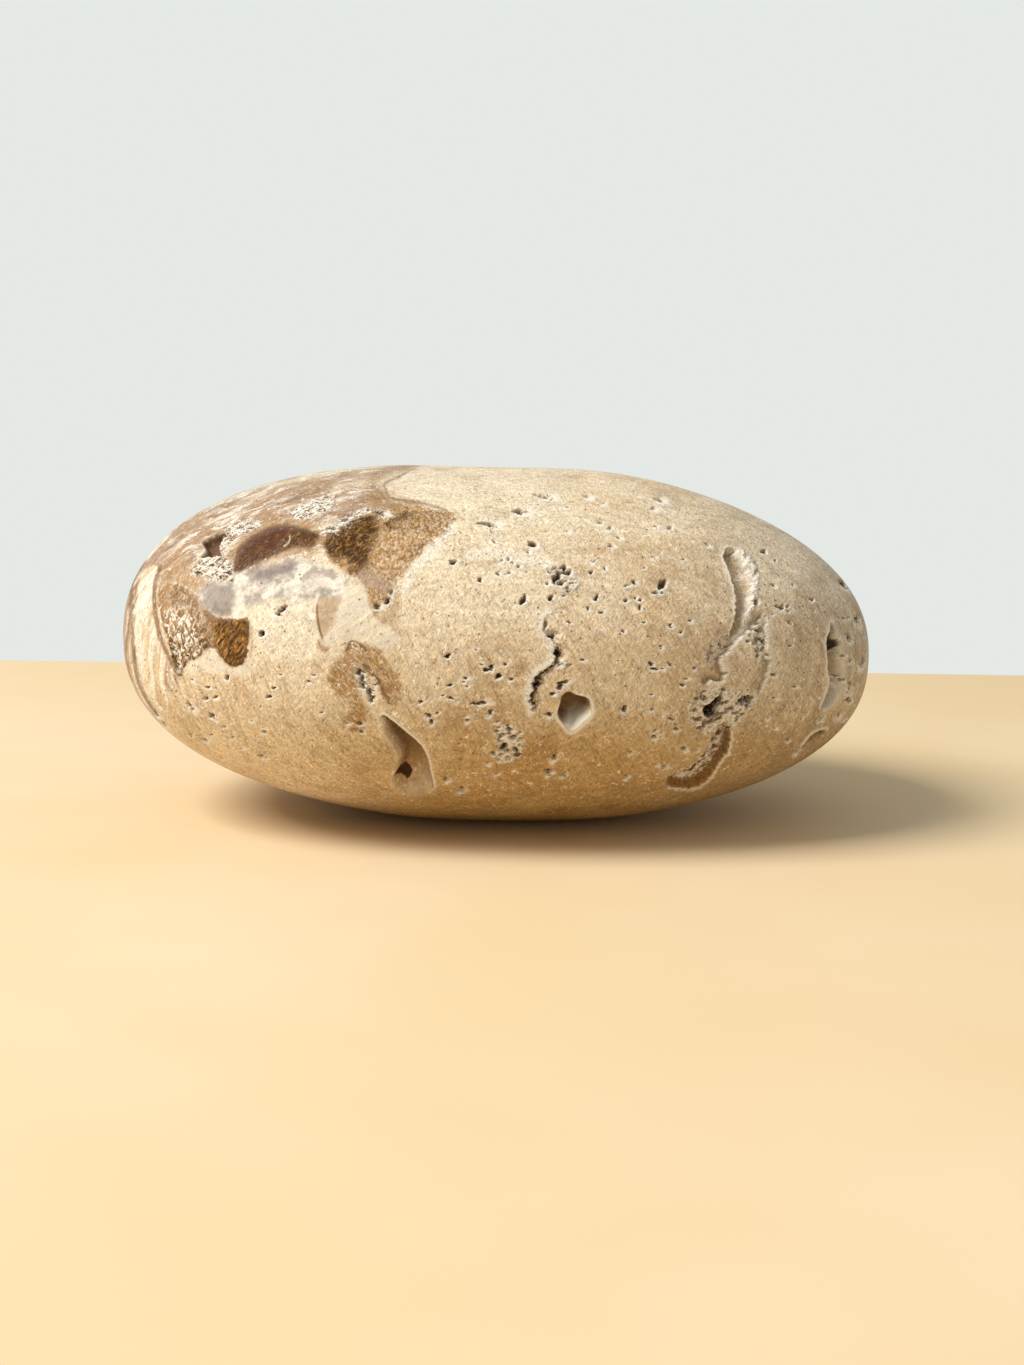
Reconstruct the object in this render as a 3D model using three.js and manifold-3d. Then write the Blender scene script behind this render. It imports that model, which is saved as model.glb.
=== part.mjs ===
// A calcite palm stone: one lump of banded brown calcite, tumbled to a lop-sided egg and polished,
// with the natural openings of the rock left in it: a six-sided vug, a leaf-shaped cavity,
// a crack, curved grooves and many small pits. Millimetres, +X along the stone, +Y to its back,
// +Z up, origin on the ground below the stone's middle.
import * as THREE from "three";
import { mergeVertices } from "three/addons/utils/BufferGeometryUtils.js";
import Module from "manifold-3d";

const wasm = await Module();
wasm.setup();

// ---- The form: how far the skin lies from a point inside the stone ----
const MIDDLE = new THREE.Vector3(-6, 0.1, 19.6);
const LEFT_REACH = 36.8;
const RIGHT_REACH = 48.2;
const FRONT_REACH = 31;
const BACK_REACH = 30.6;
const TOP_REACH = 19.9;
const BOTTOM_REACH = 18.4;
const FULLNESS = 2.28; // 2 is an ellipsoid, more is boxier
const LEAN = THREE.MathUtils.degToRad(1.5); // the right end lies lower
const SWELLINGS = [
  // direction from the middle, half-width in degrees, height in mm
  { toward: [0.75, -0.2, 0.6], spread: 28, height: 1.8 },
  { toward: [0.8, -0.2, -0.6], spread: 28, height: 1.9 },
  { toward: [0, -0.3, -1], spread: 40, height: 1.6 },
  { toward: [-0.1, 0.55, -1], spread: 30, height: 0.6 },
  { toward: [0.45, 0.8, 0.35], spread: 32, height: 0.9 },
  { toward: [-0.6, 0.75, -0.25], spread: 30, height: -0.7 },
  { toward: [-0.35, 0.75, 0.6], spread: 26, height: 0.5 },
].map(({ toward, spread, height }) => ({
  toward: new THREE.Vector3(...toward).normalize(),
  spread: THREE.MathUtils.degToRad(spread),
  height,
}));

const LENGTH = LEFT_REACH + RIGHT_REACH;
const DEPTH = FRONT_REACH + BACK_REACH;
const HEIGHT = TOP_REACH + BOTTOM_REACH;
const SKIN_DETAIL = 10;
const FINE_PIT_LENGTH = 1.8; // pits from this length on are cut with more facets

// ---- The openings ----
// Those on the front are laid out as someone sees them who looks at the stone from EYE:
// across (x) and up (z) on an upright ruler through the stone's long axis, in mm.
const EYE = new THREE.Vector3(1.8, -236.7, 50.8);

const VUG_OUTLINE = [
  [8.5, 13.6], [10.6, 12.9], [11.2, 11.9], [11.2, 10.7], [10.2, 9.7], [8.9, 8.8], [8, 9.4], [7.2, 10.7],
  [7.5, 12.2],
];
const VUG_DEPTH = 2.5;
const VUG_WALL_SLOPE = 0.45; // how far the wall comes in by the floor, mm

const LEAF_OUTLINE = [
  [-13.4, 10.5], [-12, 9.7], [-10.5, 8.5], [-9.1, 7.3], [-8.2, 6.1], [-7.6, 4.3], [-7.2, 2.6], [-8.4, 1.7],
  [-10.5, 1.9], [-12, 2.6], [-11.8, 5.6], [-12.6, 7.4], [-13.4, 8.4],
];
const LEAF_DEPTH = 2;
const LEAF_WALL_SLOPE = 0.6;
const RIM_CLEARANCE = 1.5; // how far the cutter of a hollow stands out of the skin, mm

// Grooves and cracks: a route and the width and depth of the groove along it
const GROOVE_OVERLAP = 1.7; // length of each cut over the length of its stretch of the route
const GROOVE_END_SHARE = 0.75; // the first and last cuts are this much narrower and shallower
const CRACK = {
  route: [[5.9, 22.2], [5.4, 21.2], [6.2, 20.1], [6.9, 18.6], [6.7, 16.9], [5.2, 15.5], [4.5, 14], [4.2, 12.6],
    [4.4, 11.3]],
  width: 1.1,
  depth: 1.3,
};
const UPPER_GROOVE = {
  route: [[27, 30.8], [27.5, 29.2], [28.4, 27], [28.7, 25], [28.4, 23.3], [28, 21.9]],
  width: 2,
  depth: 0.9,
};
const FAULT = {
  route: [[28.9, 20.9], [28, 19.6], [26.8, 18.3], [26, 17], [26.4, 15.8], [25.2, 15]],
  width: 0.9,
  depth: 0.7,
};
const LOWER_GROOVE = {
  route: [[26.4, 9.8], [26.2, 8.2], [25.2, 6.3], [23.4, 4.5], [21, 3.4]],
  width: 1.9,
  depth: 0.9,
};
const END_SLOT = {
  route: [[39, 22], [39.1, 20], [39.1, 17.8], [39.3, 15.4], [38.8, 13.2]],
  width: 1.2,
  depth: 1.4,
};
const END_CRESCENT = {
  route: [[38.3, 9.3], [37.3, 8.6], [36.3, 7.6], [35.4, 6.9]],
  width: 0.8,
  depth: 0.6,
};
const RIGHT_ARC = {
  route: [[30.5, 21.4], [31.1, 19.6], [31.4, 17.6], [31.2, 15.4], [30.7, 13.6]],
  width: 0.6,
  depth: 0.5,
};

// Single pits on the front: across, up, long, wide, deep, and the turn of the long way in degrees
const FRONT_PITS = [
  [-10.9, 3.5, 1.6, 1.5, 3.4, 0], // the deep hole in the leaf cavity
  [25.3, 12.3, 2.2, 1.4, 2.2, 45],
  [23.8, 11.6, 1.5, 1.1, 1, 10],
  [26.3, 14.2, 1.4, 0.9, 1, 30],
  [29, 13, 2.1, 0.9, 1.1, 35],
  [28.3, 10.8, 1, 0.6, 0.8, 60],
  [19, 26.3, 2.1, 1.5, 1.3, 60],
  [3, 24.4, 2, 1.2, 1, 65],
  [7.5, 27, 1.9, 1.4, 0.9, 20],
  [6.4, 26.6, 1.2, 0.8, 0.8, -20],
  [8.7, 27.6, 1.1, 0.8, 0.7, 40],
  [4, 30.8, 1.4, 0.9, 0.8, -15],
  [-0.8, 33.1, 2.6, 0.7, 0.7, -8],
  [2.5, 34.6, 2, 0.6, 0.6, -5],
  [-4.3, 27.9, 1.1, 0.7, 0.6, 20],
  [1, 7, 1.4, 1.1, 1, 20],
  [2.4, 6.6, 0.9, 0.8, 0.8, 0],
  [1.6, 5.7, 1.1, 0.9, 0.8, 30],
  [0.1, 8.4, 1.2, 0.7, 0.7, -30],
  [6.2, 3.9, 1, 0.6, 0.8, 85],
  [0.2, 15.3, 1.1, 0.8, 0.8, 60],
  [-1.9, 16.3, 1, 0.7, 0.7, 0],
  [-1, 12.2, 2.4, 0.6, 0.7, 0],
  [30, 24.5, 1, 0.9, 0.8, 0],
  [-27.4, 19.9, 1.1, 1, 0.9, 0],
  [-25.4, 22.6, 1.7, 0.6, 0.8, 45],
  [-15.6, 15.9, 1.5, 1, 1.2, -55],
  [-14.7, 13.9, 1.6, 1.1, 1.3, -60],
  [-15.2, 23.9, 1.6, 0.8, 1, -20],
  [-13.5, 23.6, 1.4, 0.8, 1, 25],
  [-33.2, 30.6, 2.4, 1.6, 0.7, 35],
  [-18.3, 32.6, 3.4, 0.8, 0.6, 24],
  [-32.6, 27.3, 3, 1.4, 0.4, -20],
  [41, 19.6, 1.3, 0.5, 0.7, 90],
  [41.2, 15.7, 1.3, 0.5, 0.7, 90],
  [40.1, 11.5, 0.9, 0.7, 0.7, 0],
];

// Pits on the sides that face away, strewn evenly, and two longer grooves
const FAR_PITS = 36;
const FAR_PIT_SIZES = { from: 0.7, to: 2.2 };
const FAR_PIT_WIDTH = 0.6; // over its length
const FAR_PIT_DEPTH = 0.45; // over its length
const FAR_PIT_LOWEST = 3; // no pit so close to the ground, mm
const FACING_AWAY = -0.05; // cosine between the skin's normal and the way to EYE
const FAR_PIT_SEED = 11;
const BACK_GROOVES = [
  // each is a run of directions from the middle
  { route: [[-0.35, 1, 0.28], [-0.25, 1, 0.2], [-0.2, 1, 0.08], [-0.24, 1, -0.04]], width: 1.8, depth: 0.9 },
  { route: [[0.62, 1, 0.2], [0.66, 1, 0.1], [0.64, 1, -0.02], [0.56, 1, -0.12]], width: 1.5, depth: 0.8 },
  { route: [[0.2, 0.32, 1], [0.3, 0.36, 1], [0.38, 0.45, 1]], width: 1.4, depth: 0.7 },
];

// ---- The finish ----
const STONE_COLOUR = "#cfb08a";
const STONE_ROUGHNESS = 0.35;

// ---- How finely the skin is searched and its points are joined ----
const SLOPE_STEP = 0.05; // mm
const SIGHT_STRIDE = 0.002; // these three are shares of the way from EYE to the ruler
const SIGHT_MARGIN = 0.05;
const SIGHT_END = 1.1;
const SIGHT_HALVINGS = 20;
const WELD_DISTANCE = 1e-3; // mm

// ---- Helpers: the skin ----

// How far the skin lies from the middle in a direction (a unit vector).
function reach(direction) {
  const local = direction.clone().applyAxisAngle(new THREE.Vector3(0, 1, 0), -LEAN);
  const along = Math.abs(local.x) / (local.x < 0 ? LEFT_REACH : RIGHT_REACH);
  const across = Math.abs(local.y) / (local.y < 0 ? FRONT_REACH : BACK_REACH);
  const upright = Math.abs(local.z) / (local.z < 0 ? BOTTOM_REACH : TOP_REACH);
  const sum = along ** FULLNESS + across ** FULLNESS + upright ** FULLNESS;
  let distance = sum ** (-1 / FULLNESS);
  for (const { toward, spread, height } of SWELLINGS) {
    distance += height * Math.exp(-((local.angleTo(toward) / spread) ** 2));
  }
  return distance;
}

function skinPoint(direction) {
  const unit = direction.clone().normalize();
  return unit.clone().multiplyScalar(reach(unit)).add(MIDDLE);
}

// Above zero outside the stone, below zero inside it, in mm.
function clearance(point) {
  const arm = point.clone().sub(MIDDLE);
  const distance = arm.length();
  return distance - reach(arm.normalize());
}

function normalAt(point) {
  const slope = new THREE.Vector3();
  for (const axis of ["x", "y", "z"]) {
    const ahead = point.clone();
    const behind = point.clone();
    ahead[axis] += SLOPE_STEP;
    behind[axis] -= SLOPE_STEP;
    slope[axis] = clearance(ahead) - clearance(behind);
  }
  return slope.normalize();
}

// The first point of the skin on the line of sight from EYE through the ruler mark (across, up).
function seenPoint([across, up]) {
  const ray = new THREE.Vector3(across, 0, up).sub(EYE);
  const at = (share) => ray.clone().multiplyScalar(share).add(EYE);
  let near = 1 - FRONT_REACH / EYE.length() - SIGHT_MARGIN;
  while (clearance(at(near + SIGHT_STRIDE)) > 0) {
    near += SIGHT_STRIDE;
    if (near > SIGHT_END) {
      throw new Error(`the line of sight through ${across}, ${up} misses the stone`);
    }
  }
  let far = near + SIGHT_STRIDE;
  for (let halving = 0; halving < SIGHT_HALVINGS; halving += 1) {
    const half = (near + far) / 2;
    if (clearance(at(half)) > 0) {
      near = half;
    } else {
      far = half;
    }
  }
  return at(far);
}

// ---- Helpers: solids ----

function solid(geometry) {
  const bare = geometry.clone();
  bare.deleteAttribute("normal");
  bare.deleteAttribute("uv");
  const merged = mergeVertices(bare, WELD_DISTANCE);
  const vertProperties = new Float32Array(merged.attributes.position.array);
  const triVerts = new Uint32Array(merged.index.array);
  return new wasm.Manifold(new wasm.Mesh({ numProp: 3, vertProperties, triVerts }));
}

function geometryOf(made) {
  const mesh = made.getMesh();
  const geometry = new THREE.BufferGeometry();
  geometry.setAttribute("position", new THREE.BufferAttribute(mesh.vertProperties, 3));
  geometry.setIndex(new THREE.BufferAttribute(mesh.triVerts, 1));
  geometry.computeVertexNormals();
  return geometry;
}

// A frame on the skin: its Z axis points out of the stone and its X axis follows the given way.
function frameAt(point, way) {
  const out = normalAt(point);
  const side = out.clone().cross(way).normalize();
  const ahead = side.clone().cross(out);
  return new THREE.Matrix4().makeBasis(ahead, side, out).setPosition(point);
}

// A round-floored pit, cut by an ellipsoid whose middle lies on the skin.
function pitCutter(point, way, long, wide, deep) {
  const geometry = new THREE.IcosahedronGeometry(1, long < FINE_PIT_LENGTH ? 0 : 1);
  geometry.scale(long / 2, wide / 2, deep);
  geometry.applyMatrix4(frameAt(point, way));
  return solid(geometry);
}

// A groove: overlapping pits along a route over the skin, shallower towards both ends.
function grooveCutters(points, width, depth) {
  const cutters = [];
  for (let i = 0; i < points.length - 1; i += 1) {
    const way = points[i + 1].clone().sub(points[i]);
    const point = points[i].clone().add(points[i + 1]).multiplyScalar(0.5);
    const fromEnd = Math.min(i, points.length - 2 - i);
    const share = fromEnd === 0 ? GROOVE_END_SHARE : 1;
    cutters.push(pitCutter(point, way, way.length() * GROOVE_OVERLAP, width * share, depth * share));
  }
  return cutters;
}

// A flat-floored hollow with a sharp rim: a tapered block, sunk into the skin inside the outline.
function hollowCutter(outline, depth, wallSlope) {
  const points = outline.map(seenPoint);
  const centre = points.reduce((sum, point) => sum.add(point), new THREE.Vector3());
  centre.divideScalar(points.length);
  const frame = frameAt(centre, new THREE.Vector3(1, 0, 0));
  const toFrame = frame.clone().invert();
  const flat = points.map((point) => point.clone().applyMatrix4(toFrame));
  const shape = new THREE.Shape(flat.map((point) => new THREE.Vector2(point.x, point.y)));
  const geometry = new THREE.ExtrudeGeometry(shape, {
    depth: RIM_CLEARANCE + depth,
    bevelEnabled: false,
  });
  geometry.translate(0, 0, -depth);
  const positions = geometry.attributes.position;
  for (let i = 0; i < positions.count; i += 1) {
    if (positions.getZ(i) > 0) {
      continue;
    }
    const spoke = new THREE.Vector2(positions.getX(i), positions.getY(i));
    const drawnIn = Math.max(0, 1 - wallSlope / spoke.length());
    positions.setXY(i, spoke.x * drawnIn, spoke.y * drawnIn);
  }
  geometry.applyMatrix4(frame);
  return solid(geometry);
}

// Even, repeatable random numbers between 0 and 1.
function randomFrom(seed) {
  const span = 2 ** 32;
  const factor = 1664525;
  const shift = 1013904223;
  let state = seed;
  return () => {
    state = (state * factor + shift) % span;
    return state / span;
  };
}

// ---- The sub-parts of the solid ----

function lump() {
  const geometry = new THREE.IcosahedronGeometry(1, SKIN_DETAIL);
  geometry.scale(LENGTH / 2, DEPTH / 2, HEIGHT / 2);
  const offset = new THREE.Vector3((RIGHT_REACH - LEFT_REACH) / 2, 0, 0);
  const positions = geometry.attributes.position;
  const point = new THREE.Vector3();
  for (let i = 0; i < positions.count; i += 1) {
    point.fromBufferAttribute(positions, i).add(offset);
    positions.setXYZ(i, ...skinPoint(point).toArray());
  }
  return solid(geometry);
}

// The small worn flat that the stone rests on: everything below the ground is taken off.
function belowGround() {
  const geometry = new THREE.BoxGeometry(LENGTH, DEPTH, HEIGHT);
  geometry.translate(0, 0, -HEIGHT / 2);
  return solid(geometry);
}

function frontPits() {
  return FRONT_PITS.map(([across, up, long, wide, deep, turn]) => {
    const angle = THREE.MathUtils.degToRad(turn);
    const way = new THREE.Vector3(Math.cos(angle), 0, Math.sin(angle));
    return pitCutter(seenPoint([across, up]), way, long, wide, deep);
  });
}

function frontGrooves() {
  const grooves = [
    CRACK, UPPER_GROOVE, FAULT, LOWER_GROOVE, END_SLOT, END_CRESCENT, RIGHT_ARC,
  ];
  return grooves.flatMap(({ route, width, depth }) => grooveCutters(route.map(seenPoint), width, depth));
}

function backGrooves() {
  const skin = ([x, y, z]) => skinPoint(new THREE.Vector3(x, y, z));
  return BACK_GROOVES.flatMap(({ route, width, depth }) => grooveCutters(route.map(skin), width, depth));
}

function farPits() {
  const random = randomFrom(FAR_PIT_SEED);
  const cutters = [];
  while (cutters.length < FAR_PITS) {
    const height = random() * 2 - 1;
    const turn = random() * 2 * Math.PI;
    const level = Math.sqrt(1 - height ** 2);
    const direction = new THREE.Vector3(level * Math.cos(turn), level * Math.sin(turn), height);
    const size = THREE.MathUtils.lerp(FAR_PIT_SIZES.from, FAR_PIT_SIZES.to, random() ** 2);
    const way = new THREE.Vector3(random() - 0.5, random() - 0.5, random() - 0.5);
    const point = skinPoint(direction.multiply(new THREE.Vector3(LENGTH, DEPTH, HEIGHT)));
    const facesEye = normalAt(point).dot(EYE.clone().sub(point).normalize()) > FACING_AWAY;
    const nearGround = point.z < FAR_PIT_LOWEST;
    if (facesEye || nearGround) {
      continue;
    }
    cutters.push(pitCutter(point, way, size, size * FAR_PIT_WIDTH, size * FAR_PIT_DEPTH));
  }
  return cutters;
}

function stone() {
  const openings = [
    hollowCutter(VUG_OUTLINE, VUG_DEPTH, VUG_WALL_SLOPE),
    hollowCutter(LEAF_OUTLINE, LEAF_DEPTH, LEAF_WALL_SLOPE),
    ...frontPits(),
    ...frontGrooves(),
    ...backGrooves(),
    ...farPits(),
  ];
  let body = lump().subtract(belowGround());
  for (const opening of openings) {
    body = body.subtract(opening);
  }
  const material = new THREE.MeshStandardMaterial({
    color: new THREE.Color(STONE_COLOUR),
    roughness: STONE_ROUGHNESS,
    metalness: 0,
  });
  const mesh = new THREE.Mesh(geometryOf(body), material);
  mesh.name = "stone";
  return mesh;
}

const palmStone = new THREE.Group();
palmStone.add(stone());

export default palmStone;
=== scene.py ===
"""A polished calcite palm stone as a Blender add-on: one lump with openings and markings, and its stage."""
import math
import random

import bpy
import numpy as np
from bpy.props import FloatProperty, FloatVectorProperty, IntProperty, PointerProperty
from mathutils import Matrix, Vector, noise


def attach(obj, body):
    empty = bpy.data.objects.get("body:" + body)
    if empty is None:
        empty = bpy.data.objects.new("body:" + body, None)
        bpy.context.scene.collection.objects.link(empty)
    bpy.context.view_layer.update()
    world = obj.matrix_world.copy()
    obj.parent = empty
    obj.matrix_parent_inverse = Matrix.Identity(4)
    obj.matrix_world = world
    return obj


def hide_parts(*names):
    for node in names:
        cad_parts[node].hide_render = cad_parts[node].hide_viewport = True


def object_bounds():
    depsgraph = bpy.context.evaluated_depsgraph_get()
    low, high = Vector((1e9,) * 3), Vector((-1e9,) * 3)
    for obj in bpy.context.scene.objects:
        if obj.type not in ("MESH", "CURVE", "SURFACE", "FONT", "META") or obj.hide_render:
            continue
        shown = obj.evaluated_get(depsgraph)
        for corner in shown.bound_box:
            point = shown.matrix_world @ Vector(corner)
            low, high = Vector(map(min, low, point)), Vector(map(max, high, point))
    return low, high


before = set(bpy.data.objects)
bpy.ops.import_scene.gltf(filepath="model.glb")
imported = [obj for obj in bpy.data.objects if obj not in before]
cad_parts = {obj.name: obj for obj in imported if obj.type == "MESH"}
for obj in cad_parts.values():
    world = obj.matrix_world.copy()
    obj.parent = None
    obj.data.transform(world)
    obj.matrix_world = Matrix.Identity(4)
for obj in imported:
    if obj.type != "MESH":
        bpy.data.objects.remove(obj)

bl_info = {
    "name": "Calcite palm stone",
    "version": (1, 0, 0),
    "blender": (4, 5, 0),
    "location": "3D View > Sidebar > Calcite",
    "description": "Models a polished calcite palm stone with its pits, hollows and bands",
    "category": "Add Mesh",
}

CAD_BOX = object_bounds()
MM = 0.001

# ---- The form, in mm: how far the skin lies from a point inside the stone ----
MIDDLE = np.array((-6.0, 0.1, 19.6))
SWELLINGS = (
    # direction from the middle, half-width in degrees, height
    ((0.75, -0.2, 0.6), 28, 1.8),
    ((0.8, -0.2, -0.6), 28, 1.9),
    ((0, -0.3, -1), 40, 1.6),
    ((-0.1, 0.55, -1), 30, 0.6),
    ((0.45, 0.8, 0.35), 32, 0.9),
    ((-0.6, 0.75, -0.25), 30, -0.7),
    ((-0.35, 0.75, 0.6), 26, 0.5),
)

# The front is laid out as someone sees it who looks at the stone from EYE: across (x) and up (z)
# on an upright ruler through the stone's long axis, in mm.
EYE = np.array((1.8, -236.7, 50.8))

# ---- Hollows with one steep edge and one that slopes away ----
# In mm: both edges, the depth, and how wide the wall and the slope are. Then shares: how ragged the edges
# are, the stain and painted shade, how far it fades to a painted highlight at the lower right, and the pale
# crust on the sloping edge, partly painted highlight.
HOLLOWS = {
    "leaf": {
        "steep": ((-13.4, 10.5), (-12.9, 10.4), (-12.0, 9.7), (-10.5, 8.5), (-9.1, 7.3), (-8.4, 6.4),
                  (-7.9, 5.2), (-7.6, 3.8), (-7.2, 2.0)),
        "sloping": ((-7.3, 1.6), (-8.4, 1.1), (-9.8, 0.9), (-11.4, 1.5), (-12.1, 2.6), (-11.7, 4.2),
                    (-11.5, 5.5), (-12.2, 6.9), (-13.0, 8.1), (-13.4, 9.7), (-13.5, 10.3)),
        "depth": 2.0, "wall": 0.2, "slope": 1.5, "ragged": 0.03, "stain_and_shade": 1.0, "fade": 0.85, "crust_and_highlight": 0.2,
    },
    "upper groove": {
        "steep": ((26.4, 30.7), (26.1, 29.8), (26.5, 28.5), (27.1, 27.0), (27.6, 25.2), (27.7, 22.8),
                  (27.2, 20.7)),
        "sloping": ((28.0, 20.2), (28.9, 21.2), (29.3, 23.0), (29.6, 24.8), (29.9, 26.2), (29.8, 27.6),
                    (29.0, 29.2), (27.8, 30.4)),
        "depth": 1.1, "wall": 0.25, "slope": 1.2, "ragged": 0.2, "stain_and_shade": 0.25, "fade": 0, "crust_and_highlight": 0.9,
    },
    "lower crescent": {
        "steep": ((20.6, 2.3), (22.9, 2.2), (24.4, 2.8), (25.4, 3.8), (26.3, 5.3), (27.3, 6.9),
                  (27.5, 8.4), (27.4, 10.0)),
        "sloping": ((26.0, 9.8), (25.3, 8.6), (24.7, 7.1), (23.7, 5.7), (22.2, 4.7), (20.3, 3.7),
                    (20.0, 2.9)),
        "depth": 0.9, "wall": 0.3, "slope": 1.0, "ragged": 0.2, "stain_and_shade": 1.0, "fade": 0.1, "crust_and_highlight": 0.1,
    },
    "end slot": {
        "steep": ((38.9, 22.3), (38.6, 21.0), (38.4, 19.5), (38.6, 17.8), (38.6, 16.6), (38.9, 15.3),
                  (38.5, 13.6), (38.0, 12.2)),
        "sloping": ((38.4, 12.0), (39.2, 12.4), (40.1, 14.0), (40.5, 16.0), (40.3, 18.1), (40.1, 19.8),
                    (39.4, 21.0)),
        "depth": 1.2, "wall": 0.2, "slope": 0.5, "ragged": 0.08, "stain_and_shade": 0.75, "fade": 0.5, "crust_and_highlight": 0.5,
    },
    "end crescent": {
        "steep": ((38.7, 9.6), (37.5, 9.2), (36.7, 8.5), (35.9, 7.4)),
        "sloping": ((35.8, 7.0), (36.6, 7.4), (37.6, 8.0), (38.3, 8.7)),
        "depth": 1.4, "wall": 0.2, "slope": 0.5, "ragged": 0.08, "stain_and_shade": 1.0, "fade": 0, "crust_and_highlight": 0,
    },
}
HOLLOW_REACH = 4  # mm; how far from its edges the wall and the slope of a hollow are measured
VUG = ((8.5, 13.6), (9.4, 13.2), (10.6, 12.9), (11.1, 12.2), (11.2, 10.9), (10.2, 9.8), (8.9, 8.8),
       (8.1, 9.4), (7.2, 10.7), (7.5, 12.2), (7.7, 13.1))
VUG_DEPTH = 2.5  # mm
VUG_WALLS = (0.25, 1.5)  # width of the wall at the upper left and of the ramp at the lower right
DEEP_PITS = {
    # outline, depth, share of pale rim
    "black pit": (((26.4, 13.9), (26.5, 12.9), (25.9, 11.8), (25.6, 10.9), (24.5, 10.8), (24.4, 11.9),
                   (25.0, 12.5), (25.8, 13.2)), 2.4, 0.6),
    "slot top": (((39.0, 22.2), (39.3, 20.8), (40.1, 19.9), (39.8, 19.0), (39.1, 18.6), (38.7, 18.2),
                  (38.4, 19.3), (38.6, 20.8)), 1.3, 0.3),
    "leaf hole": (((-12.0, 3.3), (-11.3, 3.7), (-10.5, 3.0), (-9.9, 2.2), (-10.3, 1.7), (-11.0, 2.1),
                   (-11.6, 2.6)), 1.4, 0),
    "triangle": (((-34.3, 30.6), (-33.0, 31.3), (-31.8, 31.9), (-31.6, 31.2), (-32.3, 30.1),
                  (-32.4, 29.0), (-34.6, 28.7), (-33.9, 29.6)), 0.9, 0.3),
}

# ---- Ledges: a step along a route, cut away on its left as one walks it ----
LEDGES = {
    # route, depth of the step, and how far the cut slopes away from it
    "fault": (((24.0, 14.6), (25.0, 15.0), (26.4, 15.1), (26.7, 16.0), (26.5, 16.7), (26.1, 17.5),
               (26.8, 18.3), (27.9, 19.6), (29.3, 21.0), (30.8, 22.4), (31.2, 23.4)), 0.75, 1.3),
    "right arc": (((30.7, 13.7), (31.3, 15.0), (31.7, 17.2), (31.6, 18.8), (31.3, 20.8), (31.4, 23.2)),
                  0.45, 0.7),
}
LEDGE_REACH = 2.4  # mm; how far from its route a ledge is cut
LEDGE_TIPS = 0.08  # share of a ledge that fades at each end
CRACK = (
    # across, up, width
    (6.0, 22.4, 0.1), (5.4, 21.6, 0.4), (5.6, 20.6, 0.1), (6.3, 20.2, 0.5), (6.8, 19.1, 0.1),
    (7.1, 18.0, 0.9), (6.7, 16.9, 0.2), (5.9, 16.2, 0.5), (4.9, 15.3, 0.6), (4.6, 14.2, 0.8),
    (4.2, 13.0, 0.7), (4.4, 12.0, 0.4), (4.5, 11.2, 0.1),
)
CRACK_DEPTH = 1.3  # mm
CRACK_DISH = 0.35  # mm; depth of the dish beside it

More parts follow.
